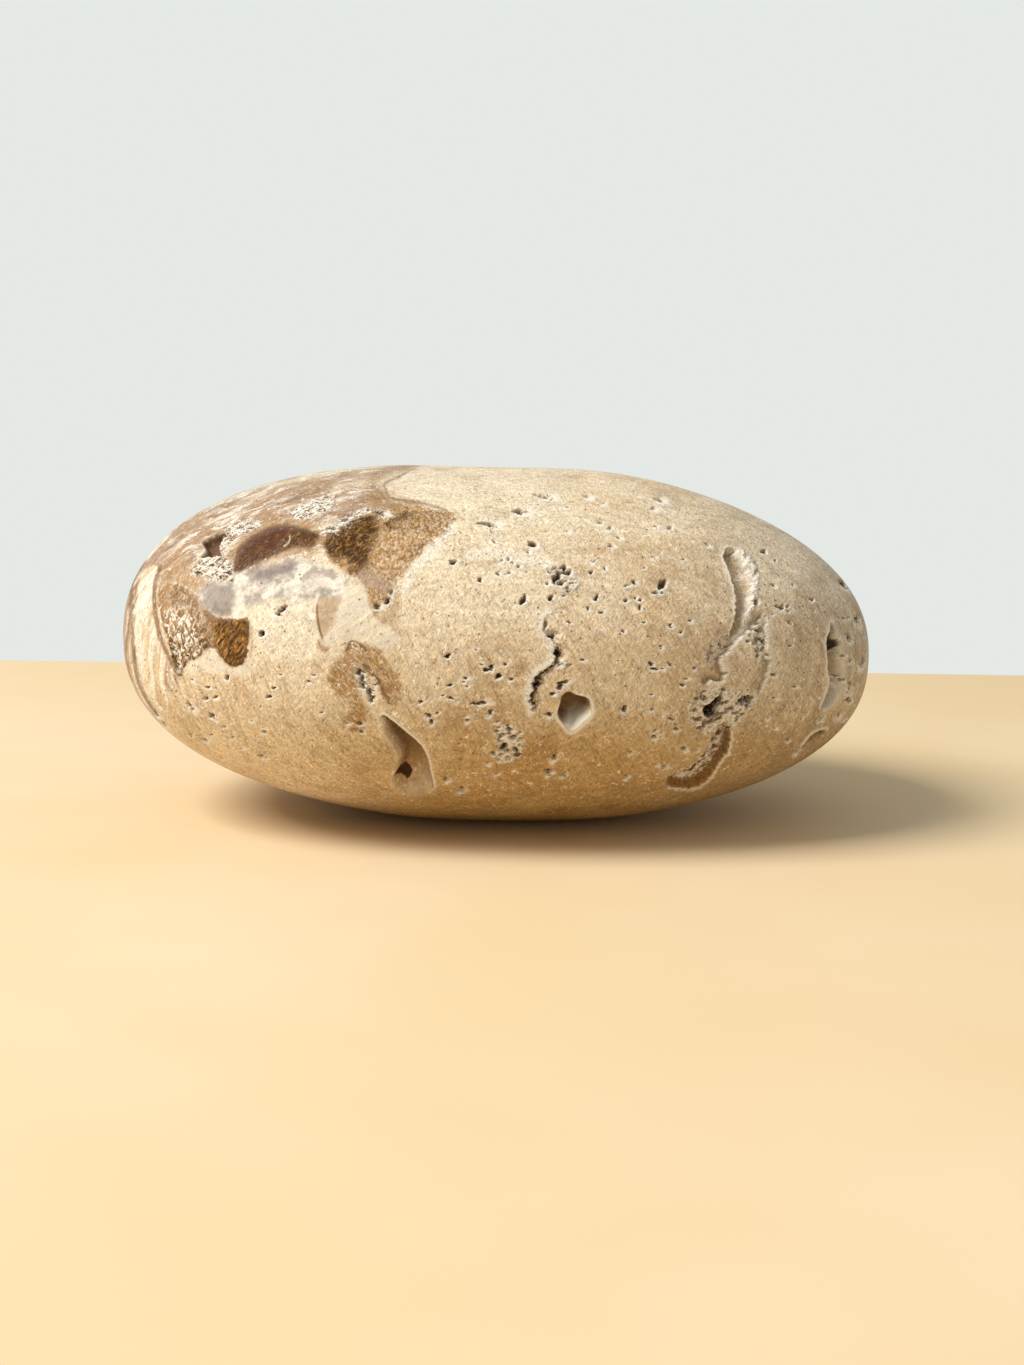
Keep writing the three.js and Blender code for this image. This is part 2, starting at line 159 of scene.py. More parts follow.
# ---- Single pits: across, up, long, wide, and the turn of the long way in degrees ----
PITS = (
    (-1.2, 33.1, 3.0, 0.7, -5), (2.5, 34.6, 2.4, 0.7, -5), (5.1, 36.4, 2.8, 0.5, -10),
    (4.0, 30.8, 1.4, 0.9, -20), (-5.2, 28.6, 0.9, 0.6, 20), (6.7, 27.1, 1.9, 0.9, 60),
    (8.0, 27.6, 1.3, 0.8, -20), (7.2, 26.3, 0.9, 0.6, 10), (3.0, 24.4, 1.5, 0.9, 65),
    (6.2, 24.6, 0.8, 0.6, 70), (11.4, 24.8, 1.3, 0.6, 55), (10.2, 36.4, 0.9, 0.4, -20),
    (-1.3, 16.1, 1.0, 0.6, -10), (-0.6, 16.4, 0.7, 0.6, 0), (0.2, 15.3, 1.0, 0.8, 60),
    (-5.7, 17.6, 0.8, 0.6, 60), (-2.0, 12.0, 2.3, 0.5, 2), (-0.7, 11.0, 1.2, 0.5, 70),
    (0.0, 8.7, 0.8, 0.6, 0), (1.6, 8.9, 0.9, 0.6, 20), (1.0, 7.0, 1.2, 0.9, 30),
    (2.4, 6.6, 0.8, 0.7, 0), (1.5, 5.6, 0.9, 0.7, 10), (0.5, 8.0, 1.0, 0.5, 40),
    (1.9, 7.9, 0.9, 0.4, -30), (6.9, 5.7, 1.0, 0.5, 70), (6.2, 3.9, 0.9, 0.6, 80),
    (6.2, 10.8, 0.9, 0.6, -60), (7.9, 14.7, 1.6, 0.5, 20), (7.5, 14.1, 1.2, 0.5, 15),
    (6.7, 13.3, 0.8, 0.6, 0), (15.0, 11.6, 0.9, 0.7, 70), (-3.9, 1.7, 0.9, 0.5, 40),
    (18.5, 36.1, 1.6, 0.6, -12), (17.9, 35.1, 0.9, 0.5, -12), (19.0, 26.3, 1.8, 0.9, 70),
    (18.2, 25.4, 0.8, 0.6, 30), (30.0, 24.5, 0.9, 0.8, 0), (30.4, 21.1, 1.0, 0.4, -60),
    (33.0, 23.9, 0.9, 0.7, 60), (30.7, 30.3, 0.8, 0.7, 0), (35.5, 7.1, 1.0, 0.4, 55),
    (-27.4, 19.9, 1.0, 0.9, 0), (-25.6, 22.2, 0.8, 0.6, 40), (-25.0, 22.9, 1.4, 0.6, 50),
    (-34.2, 7.2, 0.8, 0.4, -35), (-27.4, 5.3, 1.0, 0.4, -20), (-39.8, 10.2, 1.2, 0.4, -45),
    (-38.9, 9.0, 1.0, 0.4, -42), (-35.8, 11.2, 1.6, 0.4, -52), (-33.3, 10.0, 1.3, 0.4, -48),
    (-8.8, 12.1, 0.8, 0.4, 20), (-8.0, 10.5, 0.7, 0.5, -50), (-7.6, 9.8, 0.7, 0.4, -70),
    (-5.8, 2.9, 0.9, 0.5, -30), (-14.0, 23.3, 1.0, 0.5, -5), (-12.7, 24.1, 1.3, 0.5, 50),
    (-12.4, 25.0, 0.8, 0.5, 75), (-13.5, 34.1, 1.3, 0.5, -12), (-17.8, 33.3, 1.4, 0.6, 26),
    (-19.1, 32.4, 1.0, 0.7, 28), (40.9, 20.5, 1.2, 0.6, -75), (41.2, 14.6, 1.4, 0.5, 80),
    (41.2, 13.1, 0.8, 0.7, 0), (42.6, 17.5, 1.5, 0.5, 80), (41.8, 22.5, 1.6, 0.5, -70),
    (40.1, 11.3, 0.9, 0.4, 65), (40.0, 26.7, 1.9, 0.7, -50), (31.2, 19.9, 1.2, 0.5, -75),
    (31.1, 19.0, 1.0, 0.5, 85), (30.6, 21.1, 0.9, 0.4, -55), (28.2, 10.7, 1.0, 0.6, 75),
    (27.2, 11.7, 1.0, 0.5, 55), (29.2, 12.9, 2.3, 1.0, 22), (-15.7, 13.9, 0.9, 0.6, -50),
    (-14.9, 13.2, 0.9, 0.6, -60), (-16.2, 15.5, 0.9, 0.6, -50), (-14.7, 12.1, 0.7, 0.5, -60),
)
# Fine pits, strewn: across, up, half-widths both ways, how many
PIT_SWARMS = (
    (1, 29, 5, 4, 12), (7, 26.5, 2.5, 2, 9), (10, 32, 4, 5, 10), (17, 29, 6, 5, 10),
    (-2, 16, 4, 4, 9), (1, 7, 3, 3, 10), (4, 5, 5, 3, 8), (13, 22, 5, 6, 9), (20, 18, 4, 6, 12),
    (26, 26, 10, 6, 10), (33, 22, 4, 7, 12), (34, 12, 5, 5, 7), (-5, 12, 2, 6, 9),
    (-24, 10, 9, 6, 16), (-33, 11, 4, 5, 7), (16, 8, 8, 5, 12), (40.5, 16, 1.5, 7, 10),
)
FINE_PIT = (0.32, 0.75)  # mm, from the shortest to the longest
PIT_FULLNESS = 0.88  # share of the sizes above
PIT_LEAST, PIT_GAIN = 0.3, 0.9  # depth of a pit: at least so many mm, and this share of its width more
PIT_MARGIN = 0.9  # mm; how far around a pit its stain and flecks are measured
SWARM_SEED = 5

# Pits and grooves on the sides that face away
FAR_PITS = 36
FAR_PIT_SIZES = (0.7, 2.2)  # mm
FAR_PIT_SIDE = 0.3  # half of a far pit's width, as a share of its length
FAR_PIT_DEPTH = 0.5  # share of its length
FAR_PIT_FACING = -0.05  # they lie where the skin faces EYE less than this
FAR_PIT_FOOT = 3  # mm; and above this height
FAR_PIT_SEED = 11
BACK_GROOVES = (
    # each is a run of directions from the middle, with its width and depth in mm
    (((-0.35, 1, 0.28), (-0.25, 1, 0.2), (-0.2, 1, 0.08), (-0.24, 1, -0.04)), 1.8, 0.9),
    (((0.62, 1, 0.2), (0.66, 1, 0.1), (0.64, 1, -0.02), (0.56, 1, -0.12)), 1.5, 0.8),
    (((0.2, 0.32, 1), (0.3, 0.36, 1), (0.38, 0.45, 1)), 1.4, 0.7),
)
GROOVE_TIPS = 0.15  # share of a groove that fades at each end

# ---- Crumbly places: outline, depth of the crumbs, their length, width and turn in degrees, and the
# share of crystal blades over them ----
CRUMBLY = {
    "by the black pit": (((22.9, 12.8), (23.8, 14.0), (26.4, 14.2), (28.5, 13.9), (30.4, 13.3),
                          (29.3, 11.3), (27.7, 9.3), (26.5, 8.6), (24.9, 8.7), (23.2, 9.5), (22.6, 11.4)),
                         0.25, 1.0, 0.7, 20, 0.3),
    "crystals low": (((-35.6, 26.9), (-35.0, 27.9), (-34.1, 28.6), (-32.7, 28.8), (-31.5, 28.9),
                      (-30.9, 27.7), (-30.5, 26.4), (-31.1, 25.8), (-32.5, 26.0), (-33.9, 26.3)),
                     0.2, 1.3, 0.35, -35, 1),
    "crystals middle": (((-31.8, 31.8), (-30.8, 32.7), (-29.3, 33.2), (-28.0, 33.1), (-27.3, 32.5),
                         (-28.7, 31.8), (-30.1, 30.8), (-31.2, 29.7), (-32.0, 28.9), (-32.6, 29.2),
                         (-32.3, 30.2)),
                        0.2, 1.3, 0.35, 35, 1),
    "crystals high": (((-24.0, 33.9), (-23.3, 34.7), (-22.0, 35.5), (-20.4, 36.0), (-19.0, 36.2),
                       (-18.9, 35.2), (-19.9, 34.2), (-21.6, 33.6), (-23.2, 33.3)),
                      0.15, 1.3, 0.35, 25, 1),
    "crystals thin": (((-20.6, 31.5), (-20.2, 32.3), (-18.7, 33.1), (-17.4, 33.9), (-15.6, 34.7),
                       (-13.0, 34.4), (-15.4, 34.0), (-17.5, 32.9), (-19.2, 31.9)),
                      0.2, 1.2, 0.35, 28, 1),
    "rough cluster": (((5.6, 28.3), (7.0, 28.2), (8.8, 27.4), (9.6, 26.3), (8.6, 25.4), (7.2, 25.2),
                       (6.2, 25.9), (5.9, 27.0)),
                      0.2, 1.0, 0.6, 30, 0.5),
    "porous streak": (((-16.7, 16.2), (-15.9, 16.0), (-14.7, 14.2), (-14.1, 12.6), (-14.3, 11.9),
                       (-15.1, 12.2), (-16.2, 13.8)),
                      0.55, 0.7, 0.4, -55, 0.4),
    "low cluster": (((0.2, 9.1), (1.6, 9.6), (2.8, 8.6), (3.2, 6.6), (2.3, 5.2), (1.0, 5.2),
                     (0.4, 6.6)),
                    0.2, 1.0, 0.7, 20, 0),
    "fault foot": (((29.0, 20.6), (30.6, 22.2), (31.3, 20.6), (31.4, 17.6), (30.6, 17.0),
                    (30.0, 19.0)),
                   0.3, 0.9, 0.5, 70, 0.5),
    "groove foot": (((24.6, 18.9), (26.0, 20.4), (27.6, 20.6), (27.0, 18.8), (25.9, 17.4), (24.9, 16.4),
                     (24.2, 17.4)),
                    0.18, 0.9, 0.6, 50, 0.5),
    "groove crust": (((28.4, 30.6), (29.6, 29.6), (30.3, 27.6), (30.2, 25.4), (29.9, 23.0), (29.0, 21.2),
                      (28.9, 23.0), (29.4, 25.6), (29.3, 27.6), (28.2, 29.6)),
                     0.2, 0.9, 0.5, 60, 0.8),
    "crescent floor": (((20.4, 3.2), (22.4, 2.6), (24.2, 3.4), (25.6, 4.9), (26.8, 7.4), (26.8, 9.4),
                        (25.6, 8.4), (24.6, 6.4), (23.0, 5.0), (20.8, 4.0)),
                       0.25, 0.9, 0.5, 50, 0),
    "crack foot": (((6.2, 17.2), (7.6, 17.2), (8.6, 16.9), (8.0, 16.0), (6.9, 16.2)),
                   0.2, 0.9, 0.4, 30, 0.8),
}

# ---- Markings: outlines of the coloured zones on the front ----
MARKINGS = {
    "banded": ((-9.0, 46), (-9.0, 39.5), (-12.2, 38.1), (-13.2, 37.6), (-13.0, 36.8), (-12.5, 35.8),
               (-10.5, 35.5), (-8.9, 35.3), (-11.2, 34.0), (-16.9, 31.5), (-20.5, 30.0), (-24, 28.5),
               (-30, 26), (-36, 26.3), (-38.2, 25.9), (-39.4, 24.9), (-39.5, 21), (-38.9, 17.5),
               (-37.9, 15.8), (-36.9, 14.3), (-38, 12), (-39.4, 9.5), (-41, 8), (-50, 8), (-50, 46)),
    "gold": ((-20.3, 30.3), (-20.1, 31.7), (-18.3, 33.0), (-16.9, 33.7), (-14.9, 34.3), (-12.8, 34.6),
             (-11.2, 34.9), (-9.3, 35.1), (-7.0, 34.7), (-4.9, 34.0), (-5.6, 32.6), (-7.0, 31.6),
             (-8.1, 30.7), (-9.6, 28.9), (-10.6, 27.6), (-11.5, 26.8), (-11.9, 25.9), (-12.3, 24.8),
             (-13.1, 23.6), (-14.0, 22.0), (-14.8, 23.1), (-15.4, 25.2), (-16.2, 26.3), (-17.2, 27.0),
             (-18.3, 27.7), (-19.2, 28.4), (-19.9, 29.1)),
    "gold core": ((-20.3, 30.0), (-19.7, 31.4), (-18.3, 32.4), (-16.5, 33.4), (-14.2, 33.7), (-13.9, 32.4),
                  (-14.9, 31.0), (-16.2, 30.0), (-17.6, 29.1), (-19.0, 28.6)),
    "gold pale": ((-13.5, 31.5), (-11.5, 33.4), (-8.5, 34.8), (-4.5, 34.4), (-5.2, 32.4), (-8.1, 30.5),
                  (-10.6, 27.4), (-12.0, 24.8), (-14.0, 21.8), (-15.2, 24.6), (-15.8, 26.6),
                  (-14.8, 28.6), (-14.4, 30.2)),
    "white": ((-16.8, 26.0), (-15.8, 25.9), (-15.3, 24.6), (-14.8, 22.9), (-13.9, 21.7), (-12.6, 20.8),
              (-11.4, 19.6), (-12.4, 18.4), (-15.0, 18.7), (-16.9, 19.3), (-18.5, 18.8), (-19.9, 18.3),
              (-20.6, 19.0), (-19.9, 20.0), (-19.0, 21.3), (-18.2, 24.0), (-17.6, 25.5)),
    "gold veil": ((-39.3, 25.2), (-39.1, 26.2), (-38.2, 27.6), (-36.4, 28.8), (-35.6, 27.9), (-35, 26.5),
                  (-33.9, 26), (-33.5, 24), (-33.9, 22.6), (-34.8, 23.7), (-36.4, 25), (-38, 25.4)),
    "tail foot": ((-20.9, 19.4), (-19.9, 19.3), (-19.6, 18.0), (-20.6, 17.9)),
    "white cheek": ((-27.4, 22.6), (-24.6, 23.3), (-21.4, 23.2), (-20.9, 20.4), (-21.2, 17.4), (-23.5, 16.6),
                    (-26.5, 17.0), (-28.3, 18.6)),
    "gold lip": ((-15.0, 23.4), (-13.8, 22.4), (-12.6, 23.4), (-11.8, 25.0), (-11.2, 24.0), (-11.6, 22.2),
                 (-13.4, 20.8), (-14.9, 21.4)),
    "taupe hem": ((-16.5, 25.9), (-15.0, 25.6), (-13.0, 24.9), (-12.2, 25.6), (-13.8, 27.2), (-15.8, 27.4)),
    "white foot": ((-35.9, 16.3), (-34.9, 16.7), (-34.0, 17.6), (-33.3, 18.2), (-32.8, 17.9), (-32.1, 16.5),
                   (-31.0, 15.9), (-29.3, 16.2), (-28.6, 17.7), (-28.1, 16.3), (-28.8, 15.0),
                   (-30.9, 14.9), (-32.9, 15.3), (-34.9, 15.0), (-36.0, 15.3)),
    "hook": ((-17.6, 18.4), (-17.4, 18.9), (-16.8, 19.2), (-15.5, 19), (-14.5, 18.7), (-13.2, 17.7),
             (-12.5, 16.3), (-11.6, 15.3), (-11, 13.8), (-11.2, 12.3), (-11.8, 11.3), (-12.4, 11.4),
             (-13.9, 13.6), (-15.4, 15.4), (-16.2, 14), (-16, 12.7), (-15.1, 10.2), (-15.5, 8.8),
             (-16.4, 8.3), (-18.2, 9.4), (-17.8, 10.3), (-16.8, 11.2), (-18.6, 13), (-19.6, 14),
             (-19.9, 15), (-18.3, 17.3)),
    "violet": ((-32.0, 26.2), (-29.9, 27.1), (-27.4, 27.8), (-24.7, 28.4), (-22.4, 28.6), (-20.1, 27.9),
               (-18.3, 27.1), (-17.3, 26.1), (-17.7, 24.6), (-18.3, 23.4), (-19.2, 20.6), (-20.5, 19.5),
               (-21.0, 21.0), (-20.9, 23.7), (-23.0, 23.8), (-24.7, 24.0), (-27.4, 23.7), (-29.0, 22.9),
               (-30.4, 21.8), (-32.3, 22.1), (-34.0, 22.8), (-34.9, 23.8), (-34.7, 25.1), (-33.4, 25.8)),
    "violet deep": ((-28.7, 27.1), (-27.4, 27.9), (-25.7, 27.9), (-23.9, 28.5), (-23.4, 27.4),
                    (-24.8, 26.7), (-26.7, 25.9), (-28.1, 26.2)),
    "violet left": ((-34.1, 25.6), (-31.1, 25.8), (-30.5, 24.3), (-31, 22.6), (-31.8, 21.8), (-33, 22),
                    (-33.9, 22.9)),
    "tail": ((-20.9, 23.9), (-19.5, 24.2), (-17.8, 24.6), (-18.4, 23.4), (-19.2, 20.6), (-20.5, 19.5),
             (-21.0, 21.1)),
    "lens": ((-30.7, 26.9), (-30.4, 29.4), (-29.2, 30.9), (-27.8, 31.8), (-26, 32.5), (-24.1, 32.7),
             (-21.1, 31.9), (-20.7, 31.3), (-21.8, 29.7), (-22.6, 30.2), (-25, 29.5), (-27.8, 28.2),
             (-29.2, 27.5)),
    "lens right": ((-25, 30.4), (-24.6, 31.5), (-23.6, 32), (-21.1, 31.9), (-20.7, 31.3), (-21.8, 29.7),
                   (-22.6, 30.2), (-24.8, 29.6)),
    "lens foot": ((-30.7, 26.9), (-30.6, 27.9), (-29.9, 28.8), (-28.3, 29.2), (-25.5, 29.7), (-25, 29.5),
                  (-27.8, 28.2), (-29.2, 27.5)),
    "left gold": ((-39.3, 25.4), (-39.5, 23.7), (-39.3, 21.8), (-38.7, 19.9), (-38.2, 17.8), (-37, 14.5),
                  (-36.6, 15.5), (-35.9, 16.7), (-35.1, 16.8), (-33.6, 18.1), (-33, 18.1), (-31.6, 16.3),
                  (-30.7, 15.9), (-29.7, 16.3), (-29.1, 17.7), (-28.9, 21.5), (-30.2, 21.7),
                  (-32.5, 21.7), (-33.7, 22.6), (-34.7, 24.1), (-36.2, 25.1), (-37.8, 25.6)),
    "dark gold": ((-32.8, 21.6), (-28.9, 21.5), (-29.1, 17.7), (-29.7, 16.3), (-30.7, 15.9),
                  (-31.6, 16.4), (-32.9, 18.6), (-33, 20.2)),
    "end cream": ((-39.8, 27.8), (-41.1, 27.1), (-41.7, 25.7), (-41.9, 23.6), (-42.2, 20.9), (-42.2, 18.2),
                  (-41.8, 15.2), (-40.8, 12.2), (-39.4, 10.5), (-38.6, 11.9), (-39.0, 14.3),
                  (-39.1, 17.8), (-39.6, 19.6), (-40.0, 21.6), (-40.2, 23.6), (-40.1, 25.5),
                  (-39.5, 27.1)),
}
LINES = {
    # routes of thin seams and strokes
    "inner seam": ((-38.8, 28.3), (-39.4, 26.9), (-39.8, 25.4), (-39.9, 23.4), (-39.7, 21.5), (-39.3, 19.4),
                   (-38.6, 17.6), (-37.7, 15.8), (-36.9, 14.3)),
    "outer seam": ((-40.3, 28.8), (-42.1, 26.3), (-42.6, 24.2), (-42.6, 20.9), (-42.4, 17.5), (-41.9, 14.1),
                   (-40.9, 11.9), (-39.4, 9.5)),
    "cap seam": ((-9.0, 39.6), (-12.2, 38.1), (-13.2, 37.6), (-13.0, 36.8), (-12.5, 35.9), (-10.5, 35.6),
                 (-8.9, 35.4), (-7.0, 34.9), (-4.6, 34.1)),
    "cap swirl": ((-9.0, 42.0), (-11.5, 39.8), (-14.2, 38.2), (-14.6, 36.8), (-13.9, 35.7), (-12.0, 34.9),
                  (-9.8, 34.6), (-8.0, 34.4)),
    "tail edge": ((-20.9, 24.0), (-21.0, 22.5), (-20.8, 21.0), (-20.4, 19.6), (-20.0, 18.2)),
    "cheek edge": ((-28.8, 21.6), (-28.6, 19.0), (-28.6, 16.5), (-28.2, 13.5)),
    "right of the gold": ((-4.4, 33.6), (-6.4, 31.4), (-8.6, 29.0), (-10.4, 26.6), (-11.0, 24.4)),
    "pale swirl": ((-10.8, 23.8), (-10.0, 19.7), (-9.1, 16.0), (-8.2, 12.2), (-6.9, 8.4), (-5.9, 4.6),
                   (-5.4, 1.7)),
    "veil": ((-4.5, 29.3), (-1.5, 29.6), (1.5, 29.2), (4.5, 28.9), (6.5, 28.6)),
    "hook streak": ((-16, 16.7), (-14.9, 15.8), (-13.9, 14.6), (-13.2, 13.2), (-12.1, 11.6)),
    "hook cap": ((-17.4, 17.6), (-17.5, 18.4), (-16.9, 19.1), (-16.2, 19), (-15.5, 18.4), (-14.6, 17.5)),
    "lens curl": ((-24.3, 31.7), (-24.1, 31.1), (-24.2, 30.6), (-24.8, 30.3), (-25, 29.8)),
    "cream band": ((-14.9, 15.2), (-14.1, 13.8), (-14.2, 12), (-14.3, 10.8), (-13.8, 8.9), (-13, 7.2)),
    "leaf brow": ((-13.9, 11.6), (-12.0, 10.6), (-10.2, 9.2), (-8.6, 7.6), (-7.4, 5.4), (-6.7, 3.0)),
}

# Markings on the back, across (x) and up (z) as a plain elevation
BACK_MARKINGS = {
    "gold": ((-22, 31), (-16, 33), (-11, 31.5), (-9.5, 27.5), (-12, 24), (-17, 23), (-20.5, 25), (-24, 27.5)),
    "gold core": ((-20, 30), (-16, 31.5), (-13, 30), (-13.5, 27.5), (-17, 26.5), (-20.5, 27.5)),
    "lens": ((-33, 23.5), (-31, 25.6), (-28.6, 25.2), (-26.4, 26.6), (-24.6, 25), (-26.4, 23.6),
             (-28.2, 21.2), (-30.6, 21.6), (-32.4, 21)),
    "violet": ((-30, 20.5), (-25, 22), (-19, 21.5), (-17, 18), (-21, 15), (-27, 14.5), (-31, 16.5)),
    "white": ((-16, 22), (-12, 21), (-9, 17), (-10, 13), (-14, 12), (-17.5, 15), (-18, 19)),
    "hook": ((10, 14), (14, 15), (17, 12), (16, 8), (12, 7), (9, 10)),
}
FARTHEST = 1.5  # mm; a mark farther from an outline than this counts as this far
LINE_REACH = 2.4  # mm; marks farther from a seam than this count as OFF_THE_LINE
OFF_THE_LINE = 300


# ---- Sizes and colours that a user would change ----

def paint(code):
    """A colour from its screen code, as linear red, green and blue."""
    parts = [int(code[start:start + 2], 16) / 255 for start in (0, 2, 4)]
    return tuple(part / 12.92 if part <= 0.04045 else ((part + 0.055) / 1.055) ** 2.4 for part in parts)


def length(name, text, default):
    """A length in m that the panel shows."""
    return FloatProperty(name=name, description=text, default=default, min=0, unit="LENGTH", precision=4)


def colour(name, text, code):
    """A colour that the panel shows."""
    return FloatVectorProperty(name=name, description=text, default=paint(code), subtype="COLOR",
                               size=3, min=0, max=1)


class CalciteStoneSizes(bpy.types.PropertyGroup):
    left_reach: length("Left reach", "From the middle to the left end", 0.0368)
    right_reach: length("Right reach", "From the middle to the right end", 0.0482)
    front_reach: length("Front reach", "From the middle to the front", 0.0310)
    back_reach: length("Back reach", "From the middle to the back", 0.0306)
    top_reach: length("Top reach", "From the middle to the top", 0.0199)
    bottom_reach: length("Bottom reach", "From the middle to the underside", 0.0184)
    fullness: FloatProperty(name="Fullness", description="2 is an ellipsoid, more is boxier",
                            default=2.28, min=1.5, max=4)
    lean: FloatProperty(name="Lean", description="How far the right end lies lower",
                        default=math.radians(1.5), subtype="ANGLE")
    skin_detail: IntProperty(name="Skin detail", description="Times the first ball is divided",
                             default=6, min=5, max=7)


class CalciteColours(bpy.types.PropertyGroup):
    tan: colour("Tan", "Main colour of the body", "cbb089")
    cream: colour("Cream", "Paler clouds and the cap", "e0cfb3")
    umber: colour("Umber", "Darker clouds and stains", "a47f56")
    taupe: colour("Taupe", "Dark bands at the left", "a48b75")
    gold: colour("Gold", "Clear golden-brown calcite", "96692b")
    deep_gold: colour("Deep gold", "Darkest part of the golden calcite", "3f2508")
    plum: colour("Plum", "The purple-brown lens", "4f2b19")
    violet: colour("Violet", "The grey-violet cloud", "887a70")
    chalk: colour("Chalk", "White veins and crystals", "e9e0d0")
    # chalk is also laid as a painted highlight on lit rims, ramps and lips
    ash: colour("Ash", "Greyer stone at the right end", "b9ab98")
    # walnut is also the colour of the painted shade in hollows and under walls
    walnut: colour("Walnut", "Stained hollows and dark seams", "7a5a3c")
    # the near-black of dirt and painted shade in pits and cracks
    pit: colour("Pit", "Inside the pits", "38231a")


class CalciteStage(bpy.types.PropertyGroup):
    floor: colour("Floor", "Plain floor", "e0c497")
    backdrop: colour("Backdrop", "Plain wall all round", "e5e9e5")
    key_light: FloatProperty(name="Key light", description="Power of the soft light above left",
                             default=10, min=0, unit="POWER")
    fill: FloatProperty(name="Fill", description="Brightness of the light from all sides",
                        default=0.6, min=0, max=2)


# ---- Numbers on the skin ----

SLOPE_STEP = 0.05  # mm; half the distance over which the skin's slope is measured
SEED_SHIFT = Vector((17.3, 5.1, 9.7))  # moves the grain from one seed to the next


def reach(directions, sizes):
    """How far the skin lies from the middle in each direction, in mm."""
    x, y, z = directions.T
    cos, sin = math.cos(sizes.lean), math.sin(sizes.lean)
    local = np.stack((x * cos - z * sin, y, x * sin + z * cos), axis=1)
    ahead = np.array((sizes.right_reach, sizes.back_reach, sizes.top_reach)) / MM
    behind = np.array((sizes.left_reach, sizes.front_reach, sizes.bottom_reach)) / MM
    share = np.abs(local) / np.where(local < 0, behind, ahead)
    distance = (share ** sizes.fullness).sum(axis=1) ** (-1 / sizes.fullness)
    for toward, spread, height in SWELLINGS:
        toward = np.array(toward) / np.linalg.norm(toward)
        angle = np.degrees(np.arccos(np.clip(local @ toward, -1, 1)))
        distance += height * np.exp(-(angle / spread) ** 2)
    return distance


def unit(vectors):
    """The same directions, all of length 1."""
    return vectors / np.linalg.norm(vectors, axis=-1, keepdims=True)


def onto_skin(points, sizes):
    """The points, drawn onto the skin along their line from the middle."""
    arms = unit(points - MIDDLE)
    return MIDDLE + arms * reach(arms, sizes)[:, None]


def clearance(points, sizes):
    """Above zero outside the stone, below zero inside it, in mm."""
    arms = points - MIDDLE
    return np.linalg.norm(arms, axis=1) - reach(unit(arms), sizes)


def outward(points, sizes):
    """The way straight out of the skin at each point."""
    steps = np.eye(3) * SLOPE_STEP
    slopes = [clearance(points + step, sizes) - clearance(points - step, sizes) for step in steps]
    return unit(np.stack(slopes, axis=1))


def seen(points, normals):
    """Where points show on the ruler (across, up), and how squarely their skin faces EYE."""
    sight = points - EYE
    share = -EYE[1] / sight[:, 1]
    marks = (EYE + sight * share[:, None])[:, (0, 2)]
    facing = -(normals * unit(sight)).sum(axis=1)
    return marks, facing


def grain(points, size, seed=0):
    """A smooth random value for each point, about -1 to 1, in lumps of that size in mm."""
    shift = SEED_SHIFT * (seed + 1)
    return np.array([noise.noise(Vector(point) / size + shift) for point in points])


def ease(share):
    """0 to 1, soft at both ends."""
    share = np.clip(share, 0, 1)
    return share * share * (3 - 2 * share)


def rounded(points, closed=True, steps=5):
    """A smooth curve through the points."""
    points = np.array(points, float)
    if closed:
        ring = np.concatenate((points[-1:], points, points[:2]))
    else:
        ring = np.concatenate((2 * points[:1] - points[1:2], points, 2 * points[-1:] - points[-2:-1]))
    t = np.arange(steps)[:, None] / steps
    parts = []
    for a, b, c, d in zip(ring, ring[1:], ring[2:], ring[3:]):
        parts.append(((2 * b) + (c - a) * t + (2 * a - 5 * b + 4 * c - d) * t ** 2
                      + (3 * b - a - 3 * c + d) * t ** 3) / 2)
    if not closed:
        parts.append(points[-1:])
    return np.concatenate(parts)


def near_line(marks, line, within):
    """Which marks are near a line, their distance to it, its side (1 on the right) and how far along."""
    near = np.all((marks > line.min(axis=0) - within) & (marks < line.max(axis=0) + within), axis=1)
    start, step = line[:-1], np.diff(line, axis=0)
    offset = marks[near][:, None] - start
    share = np.clip((offset * step).sum(axis=2) / (step ** 2).sum(axis=1), 0, 1)
    away = offset - share[..., None] * step
    gaps = np.linalg.norm(away, axis=2)
    best = gaps.argmin(axis=1)
    rows = np.arange(len(best))
    offset, step = offset[rows, best], step[best]
    side = np.sign(step[:, 1] * offset[:, 0] - step[:, 0] * offset[:, 1])
    along = (best + share[rows, best]) / len(start)
    return near, gaps[rows, best], side, along


def to_line(marks, route, within=FARTHEST):
    """Distance to a smooth route, its side (1 on the right) and how far along it from 0 to 1."""
    gap = np.full(len(marks), within, float)
    side = np.zeros(len(marks))
    along = np.zeros(len(marks))
    near, gap[near], side[near], along[near] = near_line(marks, rounded(route, closed=False), within)
    return np.minimum(gap, within), side, along


def to_outline(marks, outline, within=FARTHEST):
    """Distance to an outline in mm: above zero inside it, below zero outside it."""
    ring = rounded(outline)
    ring = np.concatenate((ring, ring[:1]))
    result = np.full(len(marks), -within, float)
    near, gap, _, _ = near_line(marks, ring, within)
    x, y = marks[near].T
    a, b = ring[:-1], ring[1:]
    rise = np.where(a[:, 1] == b[:, 1], 1e-9, b[:, 1] - a[:, 1])
    spans = (a[:, 1] > y[:, None]) != (b[:, 1] > y[:, None])
    crosses = spans & (x[:, None] < a[:, 0] + (y[:, None] - a[:, 1]) * (b[:, 0] - a[:, 0]) / rise)
    inside = crosses.sum(axis=1) % 2 == 1
    result[near] = np.where(inside, gap, -gap)
    return np.clip(result, -within, within)


# ---- The openings: how deep each point is sunk, and what colours it ----

